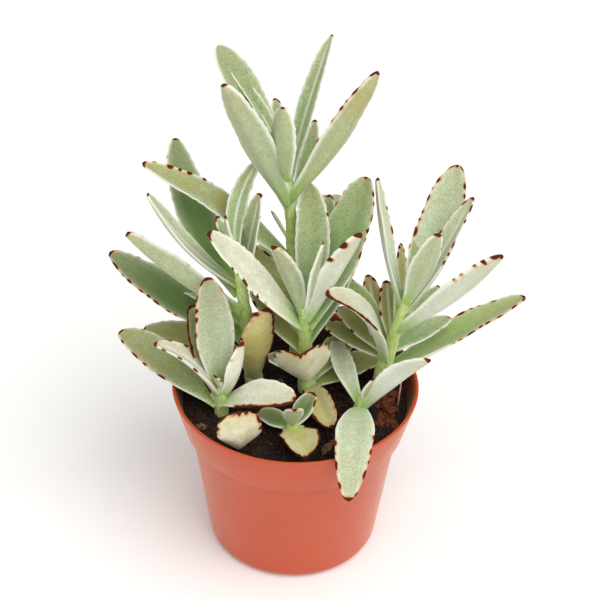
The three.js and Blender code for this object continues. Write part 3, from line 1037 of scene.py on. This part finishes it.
@dataclass(frozen=True)
class Stem:
    """One leafy stem: its foot in the soil, its growing tip, its radius at both ends, and its leaves."""

    name: str
    foot: Pair
    crown: Triple
    radii: Pair
    leaves: tuple[Leaf, ...]
    bottom: float = 60.0
    straight_to: float = 74.0
    lean_power: float = 1.2
    node_swelling: float = 0.35
    node_height: float = 2.2

    def upward(self, height: float) -> float:
        """The share of the way from the straight foot to the crown, under 0 below it."""
        return (height - self.straight_to) / (self.crown[2] - self.straight_to)

    def centre(self, height: float) -> np.ndarray:
        """The middle of the stem at a height.

        Args:
            height: The height above the ground.

        Returns:
            The place.
        """
        lean = max(0.0, self.upward(height)) ** self.lean_power
        x, y = (a + (b - a) * lean for a, b in zip(self.foot, self.crown))
        return np.array([x, y, height])

    def radius(self, height: float) -> float:
        """The stem's radius at a height, with a slight swelling where each leaf leaves it.

        Args:
            height: The height above the ground.

        Returns:
            The radius.
        """
        share = min(1.0, max(0.0, self.upward(height)))
        plain = self.radii[0] + (self.radii[1] - self.radii[0]) * share
        nearest = max(math.exp(-(((height - leaf.height) / self.node_height) ** 2)) for leaf in self.leaves)
        return plain + self.node_swelling * nearest


@dataclass
class LeafBlade:
    """The surface of one leaf, read by its share along the leaf and its angle around the section.

    The leaf's number on its stem seeds its own small irregularities.
    """

    stem: Stem
    leaf: Leaf
    number: int
    thickness_share: float = 0.24
    max_thickness: float = 3.6
    tip_thickness: float = 0.42
    thinning_half_width: float = 1.6
    edge: float = 1.1
    channel: float = 0.14
    keel_power: float = 1.3
    roundness: float = 0.55
    base_width: float = 0.42
    full_at: float = 0.52
    taper_from: float = 0.42
    tip_power: float = 0.55
    fold_at_root: float = 0.35
    ripple_share: float = 0.022
    ripple_length: float = 23.0
    tooth_height: float = 0.5
    tooth_spacing: float = 4.9
    tooth_jitter: float = 0.2
    toothed_length: float = 24.0
    toothed_from: Pair = (0.42, 0.6)
    most_teeth: int = 40
    tip_tooth_spacing: float = 2.9
    between_tip_teeth: float = 0.32
    # The margin's paleness is felt, and partly painted light.
    margin_felt_and_glint: float = 0.8
    margin_width: float = 1.25
    ribbed_fold: float = 25.0
    rib_felt: float = 0.6
    root_colour: str = "9aba5c"
    root_share: float = 0.8
    tip_colour: str = "bdb894"
    tip_share: float = 0.4
    # Painted light that pales the upper face towards its margins.
    side_light_colour: str = "dfe2cd"
    side_light_share: float = 0.22

    def __post_init__(self) -> None:
        """Works out how the leaf lies, and draws its irregularities."""
        leaf = self.leaf
        rng = random.Random(f"{self.stem.name} {self.number}")
        heading, rise, roll = (math.radians(a) for a in (leaf.heading, leaf.rise, leaf.roll))
        ahead = Vector((math.cos(heading), math.sin(heading), 0.0))
        along = ahead * math.cos(rise) + Vector((0.0, 0.0, math.sin(rise)))
        side = Matrix.Rotation(roll, 3, along) @ Vector((ahead.y, -ahead.x, 0.0))
        self.base = self.stem.centre(leaf.height)
        self.along = np.array(along)
        self.side = np.array(side)
        self.up = np.array(side.cross(along))
        self.thickness = min(self.max_thickness, leaf.width * self.thickness_share)
        self.phase = rng.uniform(0, 2 * math.pi)
        self.tooth_shift = (rng.random(), rng.random())
        self.strengths = np.array([
            [rng.uniform(0.4, 1.3) * (rng.random() >= leaf.marks.skipped) for _ in range(self.most_teeth)]
            for _ in ("left", "right")])
        self.shade = rng.uniform(0.93, 1.07)

    def outline(self, share: np.ndarray) -> np.ndarray:
        """How wide the leaf is along its length.

        Args:
            share: The share of the length at each place.

        Returns:
            The share of its full width at each place.
        """
        body = self.base_width + (1 - self.base_width) * smooth_step(share, 0.0, self.full_at)
        taper = np.clip((share - self.taper_from) / (1 - self.taper_from), 0.0, 1.0)
        return body * (1 - taper ** self.leaf.taper) ** self.tip_power

    def teeth(self, share: np.ndarray, right: np.ndarray) -> tuple[np.ndarray, np.ndarray]:
        """The crenate teeth along a margin.

        Args:
            share: The share of the length at each place.
            right: 1 on the right margin and 0 on the left.

        Returns:
            How far through its tooth each place is (1 at a tooth's crest), and its tooth's strength.
        """
        shift = np.where(right > 0.5, self.tooth_shift[1], self.tooth_shift[0])
        turns = share * self.leaf.length / self.tooth_spacing + shift
        turns = turns + self.tooth_jitter * np.sin(2.3 * turns + self.phase)
        nearest = np.clip(np.round(turns).astype(int), 0, self.most_teeth - 1)
        strength = np.where(right > 0.5, self.strengths[1][nearest], self.strengths[0][nearest])
        return 0.5 + 0.5 * np.cos(2 * np.pi * turns), strength

    def points(self, share: np.ndarray, angle: np.ndarray) -> np.ndarray:
        """Places on the leaf's surface.

        Args:
            share: The share of the length at each place, 0 at the stem and 1 at the tip.
            angle: The angle around the section: 0 is the right margin, 90 degrees the upper face.

        Returns:
            The places, one row each.
        """
        leaf = self.leaf
        across_share, upper = np.cos(angle), np.sin(angle)
        out = np.abs(across_share)
        run = share[:, None]
        arch, steer = 4 * run * (1 - run), 4 * (1 - 2 * run)
        ahead, drop, aside = self.along * leaf.length, self.up * leaf.bow, self.side * leaf.sway
        centre = self.base + ahead * run - drop * arch + aside * arch
        tangent = normalised(ahead - drop * steer + aside * steer)
        face = normalised(self.up - tangent * (tangent @ self.up)[:, None])
        across = np.cross(tangent, face)
        crest, _ = self.teeth(share, (across_share > 0).astype(float))
        toothed = smooth_step(share, *self.toothed_from) if leaf.length >= self.toothed_length else 0.0
        tooth = self.tooth_height * crest * toothed * out * (1 - share) ** 0.25
        half = leaf.width / 2 * self.outline(share) + tooth
        thinning = np.minimum(1.0, half / self.thinning_half_width)
        depth = self.thickness * (1 - (1 - self.tip_thickness) * share ** 2) * thinning
        tilt = math.radians(leaf.fold) * np.minimum(1.0, self.fold_at_root + share)
        valley = (np.sqrt(out ** 2 + 0.02) - 0.1414) / 0.8685  # out, rounded where the halves meet
        fold = half * np.sin(tilt) * valley
        edge = np.minimum(self.edge, depth)
        top = fold + self.channel * depth * (1 - out)
        under = fold - edge - (depth - edge) * (1 - out ** self.keel_power)
        middle, thick = (top + under) / 2, (top - under) / 2
        rounding = np.sign(upper) * np.abs(upper) ** self.roundness
        wave = np.sin(2 * np.pi * share * leaf.length / self.ripple_length + self.phase)
        ripple = self.ripple_share * leaf.width * wave * out ** 2 * share
        sidewise = across_share * half * np.cos(tilt)
        outward = middle + thick * rounding + ripple
        return (centre + across * sidewise[:, None] + face * outward[:, None]) * MM

    def normals(self, share: np.ndarray, angle: np.ndarray) -> np.ndarray:
        """The outward directions at places on the leaf's surface.

        Args:
            share: As points takes it.
            angle: As points takes it.

        Returns:
            The directions, one row each.
        """
        step = 1e-3
        here = self.points(share, angle)
        onward = self.points(np.minimum(share + step, 0.9995), angle) - here
        around = self.points(share, angle + step) - here
        return normalised(np.cross(around, onward) + 1e-15)

    def paint(self, share: np.ndarray, angle: np.ndarray) -> np.ndarray:
        """How the leaf is coloured at each place.

        Args:
            share: As points takes it.
            angle: As points takes it.

        Returns:
            Browning, pale margin, yellowing and grain at each place, one row each.
        """
        leaf, marks = self.leaf, self.leaf.marks
        across_share = np.cos(angle)
        right = (across_share > 0).astype(float)
        half = leaf.width / 2 * self.outline(share)
        inward = (1 - np.abs(across_share)) * half
        crest, strength = self.teeth(share, right)
        spot = marks.evenness + (1 - marks.evenness) * crest ** 2.2 * strength
        weight = np.where(right > 0.5, leaf.sides.right, leaf.sides.left)
        reach = smooth_step(share, marks.starts - 0.06, marks.starts + 0.1)
        edge = np.clip(1.15 - inward / (marks.depth * (0.6 + 0.4 * strength)), 0.0, 1.0)
        brown = marks.strength * spot * weight * reach * edge
        to_tip = (1 - share) * leaf.length
        tip = np.clip(1.1 - to_tip / (0.6 + 1.2 * marks.strength), 0.0, min(1.0, 2 * marks.strength))
        if leaf.taper > Leaf.taper:
            row = 0.5 + 0.5 * np.cos(2 * np.pi * across_share * half / self.tip_tooth_spacing)
            tip *= self.between_tip_teeth + (1 - self.between_tip_teeth) * row
        brown = np.maximum(brown, tip)
        # The pale margin is denser felt, and also painted light: the whitening of the felt along the outline
        # in grazing light.
        outermost = smooth_step(self.margin_width - inward, 0.0, 1.1)
        margin = self.margin_felt_and_glint * outermost * smooth_step(share, 0.04, 0.2)
        if leaf.fold >= self.ribbed_fold and leaf.tone is not Tone.OLD:
            rib = smooth_step(1.0 - np.abs(across_share) * half, 0.0, 0.8) * (np.sin(angle) > 0)
            margin = np.maximum(margin, self.rib_felt * rib * smooth_step(1 - share, 0.0, 0.2))
        tone = leaf.tone
        yellow = tone.yellowing * smooth_step(share, tone.yellow_from - 0.1, tone.yellow_from + 0.1)
        grain = tone.grain * (1.0 - 0.4 * smooth_step(-np.sin(angle), 0.05, 0.35))
        return np.stack([brown, margin, yellow, grain], axis=1)

    def tints(self, share: np.ndarray, angle: np.ndarray) -> np.ndarray:
        """The leaf's colour at each place: sap green near the stem, greyer and tanner at the tip, with
        painted shading across it.

        Args:
            share: As points takes it.
            angle: As points takes it.

        Returns:
            Linear red, green, blue and alpha at each place, one row each.
        """
        tone = self.leaf.tone
        above, below, root, tip = (
            np.array(linear(code)) for code in (tone.above, tone.below, self.root_colour, self.tip_colour))
        under = smooth_step(-np.sin(angle), 0.0, 0.35)[:, None]
        face = above + (below - above) * under
        to_root = self.root_share * (1 - smooth_step(share, 0.06, 0.34))[:, None]
        to_tip = self.tip_share * smooth_step(share, 0.5, 1.0)[:, None]
        tinted = face + (root - face) * to_root
        tinted = tinted + (tip - tinted) * to_tip
        # Painted light and shade: the upper face is mixed towards a pale colour near its margins, and the
        # middle of the leaf is kept a little darker.
        outward = smooth_step(np.abs(np.cos(angle)), 0.3, 1.0)[:, None]
        side_light = np.array(linear(self.side_light_colour))
        tinted = tinted + (side_light - tinted) * self.side_light_share * outward * (1 - under)
        streak = 1.0 + 0.05 * np.sin(7.0 * np.cos(angle) + self.phase) * np.sin(np.pi * share)
        tinted[:, :3] *= self.shade * (streak * (0.94 + 0.06 * outward[:, 0]))[:, None]
        return tinted


@dataclass(frozen=True)
class LeafyStem:
    """Builds one leafy stem: its stem, its leaves and its felt of hairs."""

    stem: Stem
    leaf_sides: int = 28
    leaf_ring_spacing: float = 0.85
    fewest_leaf_rings: int = 20
    stem_sides: int = 24
    stem_ring_spacing: float = 0.9
    hair_radius: float = 0.035
    hair_lengths: Pair = (0.4, 0.95)
    hair_sunk: float = 0.08
    hairs_per_mm: float = 5.0
    hairs_per_mm2: float = 0.35
    fringe_spread: float = 0.16
    hairy_margin: Pair = (0.06, 0.985)
    hairy_face: Pair = (0.05, 0.97)
    browned: float = 0.25

    def add_leaf(self, bm: BMesh, blade: LeafBlade) -> None:
        """Adds a leaf: a ball drawn out along the leaf, every ring fitted to the leaf's section.

        Args:
            bm: The stem's bmesh, with its colour layers.
            blade: The leaf's surface.
        """
        rings = max(self.fewest_leaf_rings, round(blade.leaf.length / self.leaf_ring_spacing))
        made = bmesh.ops.create_uvsphere(bm, u_segments=self.leaf_sides, v_segments=rings, radius=1.0)
        verts = made["verts"]
        ball = np.array([v.co for v in verts])
        drawn = np.arccos(np.clip(-ball[:, 2], -1.0, 1.0)) / math.pi
        share = drawn * (1 + 0.4 * (1 - drawn))
        angle = np.arctan2(ball[:, 1], ball[:, 0])
        places, tints, paints = (read(share, angle) for read in (blade.points, blade.tints, blade.paint))
        tint_layer, paint_layer = bm.verts.layers.float_color["tint"], bm.verts.layers.float_color["paint"]
        for vert, place, tint, paint in zip(verts, places, tints, paints):
            vert.co = place
            vert[tint_layer] = tint
            vert[paint_layer] = paint

    def add_stem(self, bm: BMesh) -> None:
        """Adds the stem itself: a ball drawn out from its foot in the soil to its growing tip.

        Args:
            bm: The stem's bmesh.
        """
        stem = self.stem
        top = stem.crown[2] + stem.radii[1]
        rings = round((top - stem.bottom) / self.stem_ring_spacing)
        made = bmesh.ops.create_uvsphere(bm, u_segments=self.stem_sides, v_segments=rings, radius=1.0)
        for vert in made["verts"]:
            drawn = math.acos(max(-1.0, min(1.0, -vert.co.z))) / math.pi
            height = stem.bottom + (top - stem.bottom) * drawn
            dome = math.sqrt(max(0.0, 1 - max(0.0, (height - stem.crown[2]) / stem.radii[1]) ** 2))
            flat = min(1.0, drawn * rings)
            angle = math.atan2(vert.co.y, vert.co.x)
            radius = stem.radius(height) * dome * flat if vert.co.xy.length > 1e-6 else 0.0
            ring = np.array([math.cos(angle), math.sin(angle), 0.0]) * radius
            vert.co = (stem.centre(min(height, stem.crown[2])) * (1, 1, 0) + (0, 0, height) + ring) * MM
        for face in {f for v in made["verts"] for f in v.link_faces}:
            face.material_index = 1

    def hair_roots(self, blade: LeafBlade, rng: np.random.Generator) -> tuple[np.ndarray, np.ndarray]:
        """Draws where the hairs of a leaf stand: a dense fringe on its margins, sparser on its faces.

        Args:
            blade: The leaf's surface.
            rng: The seeded source of the draw.

        Returns:
            The share along the leaf and the angle around it of each hair.
        """
        leaf = blade.leaf
        fringe = int(2 * leaf.length * self.hairs_per_mm)
        faces = int(1.4 * leaf.length * leaf.width * self.hairs_per_mm2)
        margin_angle = rng.integers(0, 2, fringe) * math.pi + rng.normal(0.0, self.fringe_spread, fringe)
        share = np.concatenate(
            [rng.uniform(*self.hairy_margin, fringe), rng.uniform(*self.hairy_face, faces)])
        angle = np.concatenate([margin_angle, rng.uniform(0, 2 * math.pi, faces)])
        living = blade.paint(share, angle)[:, 0] < self.browned
        return share[living], angle[living]

    def hair_mesh(self, blades: list[LeafBlade]) -> Mesh:
        """The felt's outermost hairs on all the leaves.

        Args:
            blades: The leaves' surfaces.

        Returns:
            The mesh of all hairs.
        """
        rng = np.random.default_rng(len(self.stem.leaves) * 31 + len(self.stem.name))
        matrices = []
        for blade in blades:
            share, angle = self.hair_roots(blade, rng)
            roots, outward = blade.points(share, angle), blade.normals(share, angle)
            lean = normalised(outward + 0.45 * blade.along + 0.5 * rng.normal(size=outward.shape))
            aside = normalised(np.cross(lean, rng.normal(size=lean.shape)))
            length = rng.uniform(*self.hair_lengths, len(share))[:, None]
            placed = np.zeros((len(share), 4, 4))
            placed[:, :3, 0] = aside
            placed[:, :3, 1] = np.cross(lean, aside)
            placed[:, :3, 2] = lean * length
            placed[:, :3, 3] = roots - self.hair_sunk * MM * outward
            placed[:, 3, 3] = 1.0
            matrices.append(placed)
        hair = spike("hair_template", 3, self.hair_radius, 0.0, 0.5)
        return scattered_copies(f"felt_hairs_{self.stem.name}", hair, np.concatenate(matrices))

    def build(self, leaf_skin: Material, stem_skin: Material, hair: Material) -> None:
        """Builds the stem and puts it in the scene.

        Args:
            leaf_skin: The leaves' material.
            stem_skin: The stem's material.
            hair: The hairs' material.
        """
        blades = [LeafBlade(self.stem, leaf, number) for number, leaf in enumerate(self.stem.leaves)]
        bm = bmesh.new()
        bm.verts.layers.float_color.new("tint")
        bm.verts.layers.float_color.new("paint")
        for blade in blades:
            self.add_leaf(bm, blade)
        self.add_stem(bm)
        mesh = finish_mesh(bm, f"leafy_{self.stem.name}")
        place_piece(mesh, [leaf_skin, stem_skin], self.stem.name)
        place_piece(self.hair_mesh(blades), [hair])


STEMS = (
    Stem("stem_tall", (1, 29), (-5, 23, 169), (4.0, 1.7), (
        Leaf(155, 200, 65, 66, 15, 1, 0, 55, 20, Marks.TIP),
        Leaf(163, 142, 54, 64, 18.5, 0, 0.5, 0, 20, Marks.BARE, taper=4),
        Leaf(166, 141, 52, 51, 8, 0, 4, 0, 30, Marks.TIP),
        Leaf(167, 241, 83, 36, 12, 3, 0, 0, 18, Marks.TIP, tone=Tone.GREEN, taper=3.4),
        Leaf(168, 102, 35, 36, 8, 0, 0, 0, 20, Marks.FAINT),
        Leaf(166, 63, 54, 62, 10, 0, -1.2, -15, 28, Marks.TIP),
        Leaf(158, 355, 61, 69, 13, 3, 0, -62, 20, Marks.LINED, Sides.RIGHT_ONLY, Tone.YELLOW_TIP),
        Leaf(155, 71, 39, 38, 7.5, 0, 2, 0, 20, Marks.SPOTTED, Sides.RIGHT),
        Leaf(123, 183, 39, 80, 13.5, -4.5, 1, -25, 22, Marks.OUTER, Sides.RIGHT_ONLY, Tone.MOTTLED),
        Leaf(134, 195, 62, 20, 5, 0, 2, 0, 20, Marks.TIP, tone=Tone.FRESH),
        Leaf(150, 95, -14, 29, 10, -2, 0, 0, 22),
        Leaf(138, 60, -5, 44, 12, -3, 0, 0, 22),
        Leaf(112, 78, -5, 50, 14, -3, 0, 0, 20),
        Leaf(113, 125, -8, 42, 13, -3, 0, 0, 22),
        Leaf(98, 130, 0, 42, 13, -3, 0, 0, 20),
        Leaf(92, 40, 0, 40, 12, -2, 0, 0, 20),
        Leaf(85, 90, 5, 44, 14, -4, 0, 0, 20, tone=Tone.OLIVE),
    )),
    Stem("stem_left", (-18, 9), (-25, 2, 143), (3.8, 1.6), (
        Leaf(141, 73, 49, 42, 9.5, 0, -4.5, 0, 30, Marks.FAINT),
        Leaf(128, 37, 77, 42, 12, 1, -1, 0, 25, Marks.FAINT),
        Leaf(141, 174, 79, 22, 8, 1, 0, 20, 20, Marks.FAINT),
        Leaf(141, 132, 50, 20, 6, 0, 0, 0, 20),
        Leaf(122, 121, 37, 74, 17.5, 0, -5.5, 0, 18, Marks.FAINT, tone=Tone.DARK),
        Leaf(128, 172, 47, 55, 11.5, 4.5, 0, 5, 26, Marks.TIP, Sides.BOTH, Tone.LIGHT),
        Leaf(114, 172, 34, 59, 19.5, 2.5, 0, 54, 20, Marks.SPOTTED, Sides.RIGHT),
        Leaf(99, 157, 20, 70, 18.5, 4, 0, -12, 18, Marks.HEAVY, Sides.LEFT, Tone.DARK),
        Leaf(83, 165, 9, 50, 16, 0, 3, -10, 20, Marks.FAINT, tone=Tone.OLIVE),
        Leaf(76, 293, 73, 49, 16, 2, 2, 0, 16, Marks.EDGED, Sides.LEFT, Tone.SUNNED),
        Leaf(106, 138, -2, 44, 13, -3, 0, 0, 20),
        Leaf(90, 120, 5, 42, 13, -3, 0, 0, 20),
    )),
    Stem("stem_centre", (5, 4), (2.5, -1, 120), (3.8, 1.6), (
        Leaf(110, 195, 53, 66, 16, 1, 0, -30, 20, Marks.DOTTED, Sides.LEFT_ONLY, Tone.LIT_CREAM),
        Leaf(117, 88, 57.5, 54, 14.5, 0, 2.5, 0, 16, Marks.FAINT, taper=3.2),
        Leaf(110, 53, 53, 67, 21.5, 0, 2.5, 0, 18, Marks.HEAVY, Sides.RIGHT, Tone.GREEN, taper=3.2),
        Leaf(105, 77, 49, 60, 14, 0, 1, 0, 20, Marks.SPOTTED),
        Leaf(117, 328, 78, 40, 8, 0, 0, 20, 28, Marks.TIP),
        Leaf(114, 3, 63, 48, 14.5, 0, 0, -55, 22, Marks.OUTER, Sides.RIGHT_ONLY, Tone.LIT_PALE),
        Leaf(116, 200, 70, 40, 11, -2, 0, 45, 22, Marks.FAINT, Sides.RIGHT),
        Leaf(107, 125, 27, 44, 14, 0, -1, 0, 20, Marks.HEAVY, Sides.RIGHT, Tone.OLIVE),
        Leaf(83, 262, 51, 35, 28, 3, 0, 15, 38, Marks.CRENATE, Sides.BOTH, Tone.WARM, taper=4),
        Leaf(78, 51, 15, 44, 14, 0, 0, 0, 22, Marks.SPOTTED, tone=Tone.OLIVE),
        Leaf(76, 27, 4, 38, 16, -1, 0, 0, 18, Marks.SPOTTED, tone=Tone.OLIVE),
        Leaf(83, 188, 30, 20, 12, 0, 0, 0, 20, Marks.TIP, tone=Tone.DARK),
        Leaf(77, 290, 0, 31, 12.5, -2, 0, 18, 30, Marks.SCALLOPED, Sides.RIGHT, Tone.OLD, taper=4.5),
        Leaf(95, 135, 25, 37, 14, 0, 0, 0, 20, Marks.SPOTTED, tone=Tone.OLIVE),
        Leaf(100, 47, 47, 47, 13, 0, 0, 0, 20, Marks.TIP, tone=Tone.FRESH),
    )),
    Stem("stem_front_left", (-31, -11), (-31, -12, 86), (3.0, 1.8), (
        Leaf(83, 115, 75, 52.5, 17.5, 0, 0, 0, 16, Marks.HEAVY, Sides.LEFT, Tone.LIGHT),
        Leaf(77, 149, 18, 55, 19, -1, 0, -5, 16, Marks.HEAVY, Sides.LEFT, Tone.MOTTLED),
        Leaf(82, 179, 44, 38, 12, -4, 0, 0, 25, Marks.SPOTTED, Sides.BOTH, Tone.LIT_CREAM),
        Leaf(85, 99, 19, 20, 6, 0, 0, 0, 30, Marks.FAINT),
        Leaf(86, 230, 68, 10, 5, 0, 0, 0, 20, Marks.FAINT, tone=Tone.FRESH),
        Leaf(84, 20, 70, 26, 13, 2, 0, -45, 22, Marks.OUTER, Sides.LEFT, Tone.LIT_CREAM),
        Leaf(78, 331, 25, 39.5, 15, -3.5, 0, 20, 18, Marks.EDGED, Sides.RIGHT_ONLY, Tone.LIT_CREAM, taper=3),
        Leaf(78, 131, 63, 44, 16, 0, 0, 0, 20, Marks.SCALLOPED, Sides.LEFT),
    )),
    Stem("stem_front_rim", (-23.3, -32), (-24, -36, 79), (1.9, 1.3), (
        Leaf(75.2, 282, 78, 20, 18.5, 4, 0, 0, 8, Marks.CRENATE, Sides.BOTH, Tone.WARM, taper=6),
    )),
    Stem("stem_front_centre", (-1, -25), (-1, -25, 80), (3.0, 1.8), (
        Leaf(77, 50, 35, 17, 10, 0, 0, 0, 22, Marks.SPOTTED, Sides.BOTH, Tone.DARK),
        Leaf(79, 277, 62, 15.5, 9, 0, 0, 0, 20, Marks.TIP, tone=Tone.GREEN, taper=3.5),
        Leaf(77, 286, 1, 20.5, 20, 0, 0, 0, 40, Marks.SCALLOPED, Sides.BOTH, Tone.OLD, taper=6),
        Leaf(77, 151, 2, 17, 11, 0, 0, 0, 20, Marks.TIP, tone=Tone.DARK),
    )),
    Stem("stem_front_right", (27, -12), (28, -12, 82), (3.0, 1.8), (
        Leaf(79, 107, 11, 37, 10, -3, -2, 0, 22, Marks.TIP, tone=Tone.LIT_PALE),
        Leaf(81, 320, 70, 16, 7, 0, 0, 0, 22, Marks.TIP, tone=Tone.FRESH),
        Leaf(78, 345, 49, 42, 14.5, -1.5, 0, -55, 22, Marks.FAINT, Sides.LEFT, Tone.LIT_PALE),
        Leaf(77, 264, -6, 52, 16, -12.5, 0, 0, 12, Marks.LOWER, Sides.BOTH, Tone.LIGHT),
    )),
    Stem("stem_right", (36, 6), (45, -1, 127), (3.6, 1.6), (
        Leaf(122, 111, 51, 54, 11, 2.5, 1.5, 50, 25, Marks.SPOTTED, Sides.RIGHT_ONLY, Tone.LIT_PALE),
        Leaf(119, 55, 56, 64, 19, 0, 2.5, 0, 15, Marks.HEAVY, Sides.BOTH, Tone.LIGHT, taper=3),
        Leaf(119, 28, 58, 56, 12, 0, 2, 0, 28, Marks.SPOTTED, tone=Tone.LIGHT),
        Leaf(124, 344, 73, 38, 12, 1, 0, -60, 20, Marks.FAINT),
        Leaf(126, 79, 46, 31, 7, 0, 1, 0, 20, Marks.FAINT),
        Leaf(109, 347, 48, 60, 13, 2.5, 0, -62, 20, Marks.OUTER, Sides.RIGHT_ONLY, Tone.LIT_PALE),
        Leaf(84, 27, 14, 72, 20, 1, 0, -15, 22, Marks.HEAVY, Sides.BOTH, Tone.FRESH),
        Leaf(96, 41, 1, 36, 12, 0, 0, 0, 20, Marks.FAINT),
        Leaf(108, 55, 6, 34, 7, 0, 0, 0, 20, Marks.SPOTTED),
        Leaf(109, 86, 29, 40, 8, 0, 0, 50, 20, Marks.HEAVY, tone=Tone.OLIVE),
        Leaf(101, 97, 38, 27, 9, 0, 0, 0, 25, Marks.HEAVY, tone=Tone.OLIVE),
        Leaf(88, 104, 38, 40, 11, 0, 0, 0, 25, Marks.HEAVY, tone=Tone.OLIVE),
        Leaf(97, 132, 24, 42, 12, -5, 0, 0, 20, Marks.FAINT, tone=Tone.FRESH),
        Leaf(92, 142, 3, 34, 13, 0, 0, 0, 20, Marks.SPOTTED, tone=Tone.OLIVE),
        Leaf(94, 128, 6, 35, 13, -1, 0, 0, 20, Marks.SPOTTED, tone=Tone.OLIVE),
        Leaf(90, 207, 56, 53.5, 17, -7, 0, -16, 15, Marks.BANDED, Sides.LEFT_ONLY, Tone.LIT_CREAM),
    )),
)


# ---- studio -------------------------------------------------------------------------------------


@dataclass(frozen=True)
class Sun:
    """A broad even light: which way it shines, its strength, and the angle it fills, which softens
    its shadows."""

    name: str
    ahead: Triple
    strength: float
    softness: float = 60.0

    def build(self) -> None:
        """Adds the light, the same all over the floor."""
        data = bpy.data.lights.new(self.name, "SUN")
        data.angle = math.radians(self.softness)
        data.energy = self.strength
        lamp = bpy.data.objects.new(self.name, data)
        bpy.context.scene.collection.objects.link(lamp)
        lamp.rotation_mode = "QUATERNION"
        lamp.rotation_quaternion = Vector(self.ahead).to_track_quat("-Z", "Y")
        lamp.location = -Vector(self.ahead)


@dataclass(frozen=True)
class Studio:
    """The camera, the pale floor and the soft lights. The floor and the camera's reach are in metres."""

    eye: Triple = (0.0, -523.1, 505.1)
    ahead: Triple = (0.0017, 0.8080, -0.5891)
    right: Triple = (0.9998, 0.0115, 0.0187)
    lens: float = 94.9
    sensor_width: float = 36.0
    reach: float = 20.0
    floor_size: float = 16.0
    sky_strength: float = 0.58
    suns: tuple[Sun, ...] = (Sun("key", (-0.45, 0.45, -0.85), 2.1), Sun("fill", (0.7, 0.7, -0.5), 0.5))

    def add_camera(self) -> None:
        """Sets the camera at the photograph's viewpoint."""
        data = bpy.data.cameras.new("camera")
        data.lens = self.lens
        data.sensor_width = self.sensor_width
        data.clip_end = self.reach
        camera = bpy.data.objects.new("camera", data)
        bpy.context.scene.collection.objects.link(camera)
        back = -Vector(self.ahead).normalized()
        right = Vector(self.right)
        right = (right - back * right.dot(back)).normalized()
        turn = Matrix((right, back.cross(right), back)).transposed().to_4x4()
        camera.matrix_world = Matrix.Translation(Vector(self.eye) * MM) @ turn
        bpy.context.scene.camera = camera

    def add_floor(self) -> None:
        """Lays the pale floor."""
        bm = bmesh.new()
        bmesh.ops.create_grid(bm, x_segments=1, y_segments=1, size=self.floor_size / 2)
        floor = bpy.data.objects.new("floor", finish_mesh(bm, "floor"))
        bpy.context.scene.collection.objects.link(floor)
        floor.data.materials.append(MattFloor().material())

    def add_sky(self) -> None:
        """Surrounds the scene with even white light."""
        world = bpy.data.worlds.new("studio")
        world.use_nodes = True
        background = world.node_tree.nodes["Background"]
        background.inputs["Color"].default_value = linear("ffffff")
        background.inputs["Strength"].default_value = self.sky_strength
        bpy.context.scene.world = world

    def build(self) -> None:
        """Builds the studio."""
        bpy.context.scene.view_settings.view_transform = "Standard"
        self.add_camera()
        self.add_floor()
        self.add_sky()
        for sun in self.suns:
            sun.build()
        log.info("studio built")


def main() -> None:
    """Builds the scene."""
    logging.basicConfig(level=logging.INFO, format="%(message)s")
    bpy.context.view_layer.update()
    Studio().build()
    pot = NurseryPot()
    pot.build()
    PottingSoil(pot).build()
    leaf_skin, stem_skin, hair = FeltedLeaf().material(), FeltedStem().material(), FeltHair().material()
    for stem in STEMS:
        LeafyStem(stem).build(leaf_skin, stem_skin, hair)


if __name__ == "__main__":
    main()
